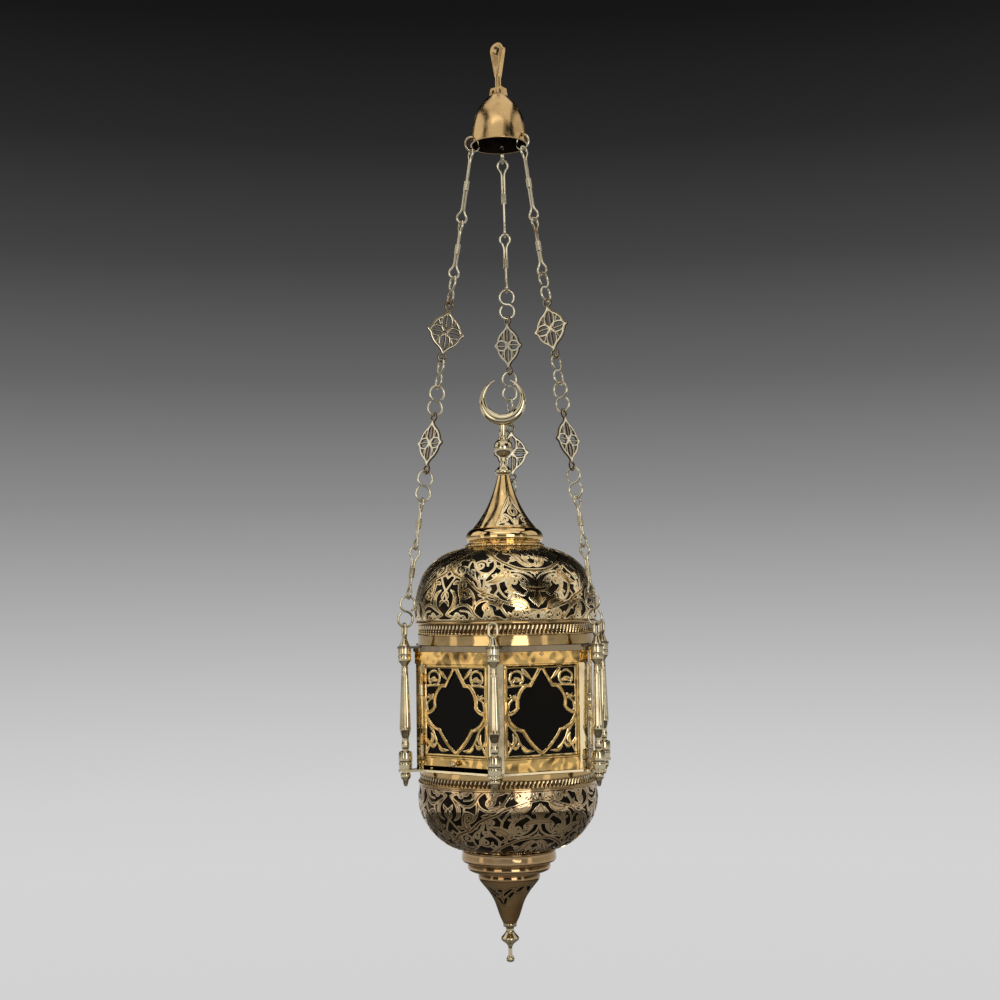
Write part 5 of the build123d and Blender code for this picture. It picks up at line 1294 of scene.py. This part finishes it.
def chevron_holes(t, r, s):
    """Zigzag of leaf-shaped cuts round the cone: three points down, three cuts on each arm, an oval over each point."""
    turn_by = (t - math.radians(13.0) + TAU / 6) % (TAU / 3) - TAU / 6
    x, y = np.broadcast_arrays(np.abs(turn_by * r), s)
    share = np.abs(turn_by) / (TAU / 6)
    off = (y - 25.5 - 28.0 * share**0.85) * 0.72
    spots = np.stack([(share - centre) / 0.15 for centre in (0.14, 0.46, 0.80)])
    cut = 2.9 * (1 - spots**2).max(0) - np.abs(off)
    inner = 1.8 - np.abs(off - 6.4) - 1.5 * np.maximum(share - 0.42, 0) * 10
    cut = np.maximum(cut, np.minimum(inner, (share - 0.12) * 20))
    oval = np.hypot(x / 1.6, y - 46.5)
    return -np.maximum(cut, 2.3 - oval)


class FANOUS_OT_spire(bpy.types.Operator):
    """Build the spire ring, the upper spire, the finial and the crescent"""

    bl_idname = "fanous.spire"
    bl_label = "Spire and crescent"

    def execute(self, context):
        shares = [(0.86, 0.0), (0.975, 0.0), (0.975, 0.09), (0.90, 0.17), (0.885, 0.23), (0.925, 0.33), (0.945, 0.47),
                  (0.94, 0.62), (0.91, 0.77), (0.855, 0.90), (0.79, 0.99), (0.68, 1.0)]
        line = sized(rounded(shares, 0.2, 2), 49.3, DOME_TOP, 22.0)
        rings = turned_rings(folded(line, SHEET_WALL), 288)
        edge = np.clip((np.linalg.norm(rings[..., :2], axis=-1) - 44.4) / 2.0, 0, 1)
        low = np.clip((DOME_TOP + 4.2 - rings[..., 2]) / 1.5, 0, 1)
        rings[..., :2] *= (1 - 0.022 * edge * low * (1 - np.abs(np.cos(18 * round_angles(288)))))[..., None]
        make_piece("spire_torus", skin(rings, loop=True), "sheet", "spire_ring")

        shares = [(1.0, 0.0), (0.775, 0.175), (0.575, 0.37), (0.46, 0.51), (0.305, 0.76), (0.19, 1.0)]
        cone = pierced_cone_shape(sized(shares, 38.5, SPIRE_FOOT, 64.0), spire_holes, 120, 300)
        make_piece("upper_spire_openwork", cone, "pierced", "upper_spire", sharp=45, back="inner_shade")

        shares = [(0.70, 0.0), (0.72, 0.03), (0.95, 0.05), (0.97, 0.075), (0.92, 0.10), (0.66, 0.15), (0.46, 0.20),
                  (0.36, 0.27), (0.34, 0.36), (0.46, 0.385), (0.78, 0.415), (1.0, 0.475), (1.08, 0.555), (1.0, 0.635),
                  (0.76, 0.69), (0.58, 0.71), (0.58, 0.75), (0.48, 0.77), (0.46, 0.80), (0.44, 0.90), (0.50, 1.0)]
        spigot = [(5.6, SPIRE_TOP - 7.9), (5.6, SPIRE_TOP - 0.1)]
        line = rounded(np.vstack([spigot, sized(shares, 10.9, SPIRE_TOP, 61.0)]), 0.2, 2)
        make_piece("finial_turned", turned(line), "cast", "finial")
        make_piece("crescent_cast", crescent_shape(), "cast", "crescent")
        return {"FINISHED"}


def crescent_shape():
    """Crescent: an oval section carried from horn to horn round a circle, as thick as the gap between that circle
    and a smaller one set higher, with a peg at its foot."""
    outer, inner_radius, rise, horn = 28.5, 21.0, 6.4, 161.0
    a = np.radians(np.linspace(-horn, horn, 121))
    inner = -rise * np.cos(a) + np.sqrt(inner_radius**2 - (rise * np.sin(a)) ** 2)
    half = (outer - inner) / 2
    out, side = turn(30.0)
    ray = np.sin(a)[:, None] * side - np.cos(a)[:, None] * UP
    centre = UP * (FINIAL_TOP + outer) + ray * (outer - half)[:, None]
    t = round_angles(28)[None, :, None]
    rings = centre[:, None] + half[:, None, None] * (ray[:, None] * np.cos(t) + 0.72 * out * np.sin(t))
    tips = [centre[0] - np.cross(ray[0], out) * 0.4, centre[-1] + np.cross(ray[-1], out) * 0.4]
    horns = skin(rings[::-1], tips[1], tips[0])
    peg = turned([(2.1, FINIAL_TOP - 6.8), (2.2, FINIAL_TOP - 6.5), (2.2, FINIAL_TOP + 1.2)], 32)
    return joined([horns, peg])


# Bowl and lower end


class FANOUS_OT_bowl(bpy.types.Operator):
    """Build the pierced bowl, its band, the collar, the lower spire and the drop finial"""

    bl_idname = "fanous.bowl"
    bl_label = "Bowl"

    def execute(self, context):
        ornament = settings("fanous_ornament")
        height = BOWL_FOOT - BOWL_BAND_FOOT
        bowl = openwork_shape(BOWL_SHARES, BOWL_RADIUS, BOWL_BAND_FOOT, height, 86, ornament.ribbon, 3.4)
        make_piece("bowl_openwork", bowl, "bowl", "bowl", sharp=45, back="inner_shade")

        low, high = BOWL_BAND_FOOT + 2.0, BOWL_BAND_FOOT + 10.2
        rows = [
            (104.4, BOWL_BAND_FOOT),
            arc_points((105.1, BOWL_BAND_FOOT + 1.0), 1.6, -35, 90, 7),
            np.stack([np.full(11, 104.4), np.linspace(low, high, 11)], -1),
            [(104.9, high + 0.4), (104.9, high + 0.9), (104.4, high + 1.3)],
            [(104.4, LOWER_FOOT - 0.6), (103.6, LOWER_FOOT)],
            [(90.8, LOWER_FOOT), (90.8, LOWER_FOOT - 1.6), (102.8, LOWER_FOOT - 1.6), (102.8, BOWL_BAND_FOOT)],
        ]
        band = rope_band_shape(rows, low, high, ornament.slashes)
        make_piece("bowl_rope_band", band, "carved", "bowl_band", sharp=50)

        shares = [(0.58, 1.0), (0.66, 1.0), (0.80, 0.95), (0.868, 0.87), (0.878, 0.76), (0.868, 0.64), (0.84, 0.585),
                  (0.93, 0.56), (0.99, 0.50), (1.0, 0.42), (0.985, 0.10), (1.0, 0.05), (0.985, 0.0), (0.88, 0.0)]
        collar = sized(rounded(shares, 0.2, 2), 56.3, BOWL_FOOT, -27.5)
        make_piece("bowl_collar_spun", turned_shell(folded(collar, SHEET_WALL), 192), "collar", "bowl_collar")

        shares = [(0.22, 1.0), (0.30, 0.90), (0.474, 0.60), (0.85, 0.25), (1.0, 0.10), (0.97, 0.0)]
        cone = pierced_cone_shape(sized(shares, 36.7, COLLAR_FOOT, -60.0), chevron_holes, 110, 270)
        make_piece("lower_spire_openwork", cone, "lower", "lower_spire", sharp=45, back="inner_shade")

        shares = [(0.22, 0.995), (0.40, 0.97), (0.46, 0.92), (0.40, 0.875), (0.24, 0.84), (0.22, 0.80),
                  (0.22, 0.60), (0.30, 0.57), (0.42, 0.53), (0.97, 0.43), (1.0, 0.40), (0.97, 0.37), (0.52, 0.25),
                  (0.44, 0.20), (0.44, 0.13), (0.50, 0.11), (0.72, 0.09), (0.76, 0.05), (0.72, 0.0)]
        spigot = [(6.0, LOWER_SPIRE_FOOT + 0.1), (6.0, LOWER_SPIRE_FOOT + 7.9)]
        line = rounded(np.vstack([sized(shares, 10.9, LOWER_SPIRE_FOOT, -46.0), spigot]), 0.2, 2)
        line[0] = (0.9, DROP_FOOT)
        make_piece("drop_finial_turned", turned(line), "cast", "drop_finial")
        return {"FINISHED"}


# Stage


BACKDROP_GREYS = [
    (0.0, 0.64), (0.19, 0.655), (0.24, 0.638), (0.293, 0.591), (0.348, 0.521), (0.403, 0.434), (0.514, 0.258),
    (0.624, 0.130), (0.731, 0.056), (0.834, 0.022), (0.931, 0.0085), (1.0, 0.005),
]
LAMP_AIM = -0.74
FLOOR_RADIUS, FLOOR_RISE = 3900.0, 90.0


def studio_world(scene):
    """Plain grey backdrop that pales downwards, the same to the camera, the metal, the glass and the light."""
    world = bpy.data.worlds.new("studio")
    scene.world = world
    world.use_nodes = True
    tree = world.node_tree
    tree.nodes.clear()
    coord = add_node(tree, "ShaderNodeTexCoord", (-1200, 300)).outputs["Generated"]
    height = add_node(tree, "ShaderNodeSeparateXYZ", (-1000, 300), Vector=coord).outputs["Z"]
    share = add_node(tree, "ShaderNodeMapRange", (-800, 300), Value=height, **{"From Min": -0.3, "From Max": 0.42})
    ramp = add_node(tree, "ShaderNodeValToRGB", (-600, 300), Fac=share.outputs["Result"])
    points = ramp.color_ramp.elements
    while len(points) < len(BACKDROP_GREYS):
        points.new(0.5)
    for point, (position, grey) in zip(points, BACKDROP_GREYS):
        point.position = position
        point.color = (grey, grey, grey, 1.0)
    back = add_node(tree, "ShaderNodeBackground", (-300, 300), Color=ramp.outputs["Color"], Strength=1.0)
    add_node(tree, "ShaderNodeOutputWorld", (-100, 300), Surface=back.outputs[0])


def stand(name, data, axes, place):
    """A lamp or camera with its right, upward and backward axes, at a place in metres."""
    thing = bpy.data.objects.new(name, data)
    pose = Matrix.Identity(4)
    for k, axis in enumerate(axes):
        pose.col[k] = (*axis, 0.0)
    pose.col[3] = (*place, 1.0)
    thing.matrix_world = pose
    bpy.context.scene.collection.objects.link(thing)
    return thing


def area_light(name, azimuth, elevation, distance, size, power, colour):
    """A soft box that looks at the middle of the lantern from an azimuth and an elevation."""
    light = bpy.data.lights.new(name, "AREA")
    light.shape = "RECTANGLE"
    light.size, light.size_y = size
    light.energy, light.color = power, colour
    e = math.radians(elevation)
    out, side = turn(azimuth)
    back = out * math.cos(e) + UP * math.sin(e)
    rise = UP * math.cos(e) - out * math.sin(e)
    stand(name, light, (side, rise, back), UP * LAMP_AIM + back * distance)


def photo_camera(scene):
    """Camera at the height of the dome, looking up by four degrees, with the photograph's small roll."""
    pitch, roll, pan = (math.radians(v) for v in (4.0, 0.8, 0.153))
    distance, level = 1.804, -0.6804
    out, side = turn(CAMERA_AZIMUTH)
    ahead = -out * math.cos(pan) - side * math.sin(pan)
    right = side * math.cos(pan) - out * math.sin(pan)
    look = ahead * math.cos(pitch) + UP * math.sin(pitch)
    rise = UP * math.cos(pitch) - ahead * math.sin(pitch)
    across = right * math.cos(roll) - rise * math.sin(roll)
    top = rise * math.cos(roll) + right * math.sin(roll)
    data = bpy.data.cameras.new("photo_camera")
    data.sensor_width, data.lens = 36.0, 54.0
    scene.camera = stand("photo_camera", data, (across, top, -look), out * distance + UP * level)


def floor_disc(level):
    """Pale floor: a disc of rings that dishes up by a hand's breadth at its rim."""
    r = np.linspace(50.0, FLOOR_RADIUS, 40)
    rings = turned_rings(np.stack([r, level + FLOOR_RISE * (r / FLOOR_RADIUS) ** 6], -1), 96)
    return skin(rings[::-1], head=(0, 0, level))


class FANOUS_OT_stage(bpy.types.Operator):
    """Set up the camera, the lights, the backdrop and the floor"""

    bl_idname = "fanous.stage"
    bl_label = "Stage"

    def execute(self, context):
        stage = settings("fanous_stage")
        context.scene.view_settings.view_transform = "Standard"
        photo_camera(context.scene)
        studio_world(context.scene)
        window, broad = stage.key_power, stage.fill_power
        white, warm = (1.0, 0.98, 0.95), (1.0, 0.90, 0.76)
        for name, azimuth, elevation, distance, size, power, colour in (
                ("window_light", 18, 9, 2.1, (0.74, 1.1), window, white),
                ("second_window", -32, 8, 2.3, (0.80, 1.0), window * 0.48, warm),
                ("high_light", -14, 40, 2.4, (2.4, 1.3), broad * 0.80, white),
                ("side_light", 50, 6, 2.5, (0.40, 1.5), broad * 0.13, warm),
                ("left_light", -70, 6, 2.5, (0.45, 1.5), broad * 0.15, warm),
                ("far_left_light", -98, 33, 2.4, (2.1, 1.6), broad * 0.95, white),
                ("far_right_light", 96, 33, 2.4, (2.1, 1.6), broad * 0.80, white),
                ("top_light", 10, 80, 2.3, (2.8, 2.8), broad * 2.4, white)):
            area_light(name, CAMERA_AZIMUTH + azimuth, elevation, distance, size, power, colour)
        mesh = new_mesh("floor", *floor_disc(stage.floor_level / MM))
        mesh.materials.append(new_material("pale_floor", {"Base Color": (0.62, 0.61, 0.59), "Roughness": 0.8}))
        floor = bpy.data.objects.new("floor", mesh)
        context.scene.collection.objects.link(floor)
        return {"FINISHED"}


# Add-on


class FANOUS_PT_lantern(bpy.types.Panel):
    """Builds the lantern piece by piece"""

    bl_label = "Fanous lantern"
    bl_idname = "FANOUS_PT_lantern"
    bl_space_type = "VIEW_3D"
    bl_region_type = "UI"
    bl_category = "Lantern"

    def draw(self, context):
        for group in ("fanous_finishes", "fanous_ornament", "fanous_stage"):
            box = self.layout.box()
            owner = settings(group)
            for key in owner.bl_rna.properties.keys():
                if key not in {"rna_type", "name"}:
                    box.prop(owner, key)
        for operator in OPERATORS:
            self.layout.operator(operator.bl_idname)


GROUPS = {"fanous_finishes": LanternFinishes, "fanous_ornament": LanternOrnament, "fanous_stage": LanternStage}
OPERATORS = [
    FANOUS_OT_stage, FANOUS_OT_canopy, FANOUS_OT_chains, FANOUS_OT_panels, FANOUS_OT_columns, FANOUS_OT_dome,
    FANOUS_OT_spire, FANOUS_OT_bowl,
]


def register():
    """Adds the settings, the operators and the sidebar panel."""
    for kind in (*GROUPS.values(), *OPERATORS, FANOUS_PT_lantern):
        bpy.utils.register_class(kind)
    for name, kind in GROUPS.items():
        setattr(bpy.types.Scene, name, bpy.props.PointerProperty(type=kind))


def unregister():
    """Takes the settings, the operators and the sidebar panel away."""
    for name in GROUPS:
        delattr(bpy.types.Scene, name)
    for kind in (FANOUS_PT_lantern, *reversed(OPERATORS), *reversed(GROUPS.values())):
        bpy.utils.unregister_class(kind)


def main():
    """Builds the lantern in order."""
    register()
    FINISH.update(make_finishes())
    for operator in OPERATORS:
        group, name = operator.bl_idname.split(".")
        getattr(getattr(bpy.ops, group), name)()


if __name__ == "__main__":
    main()
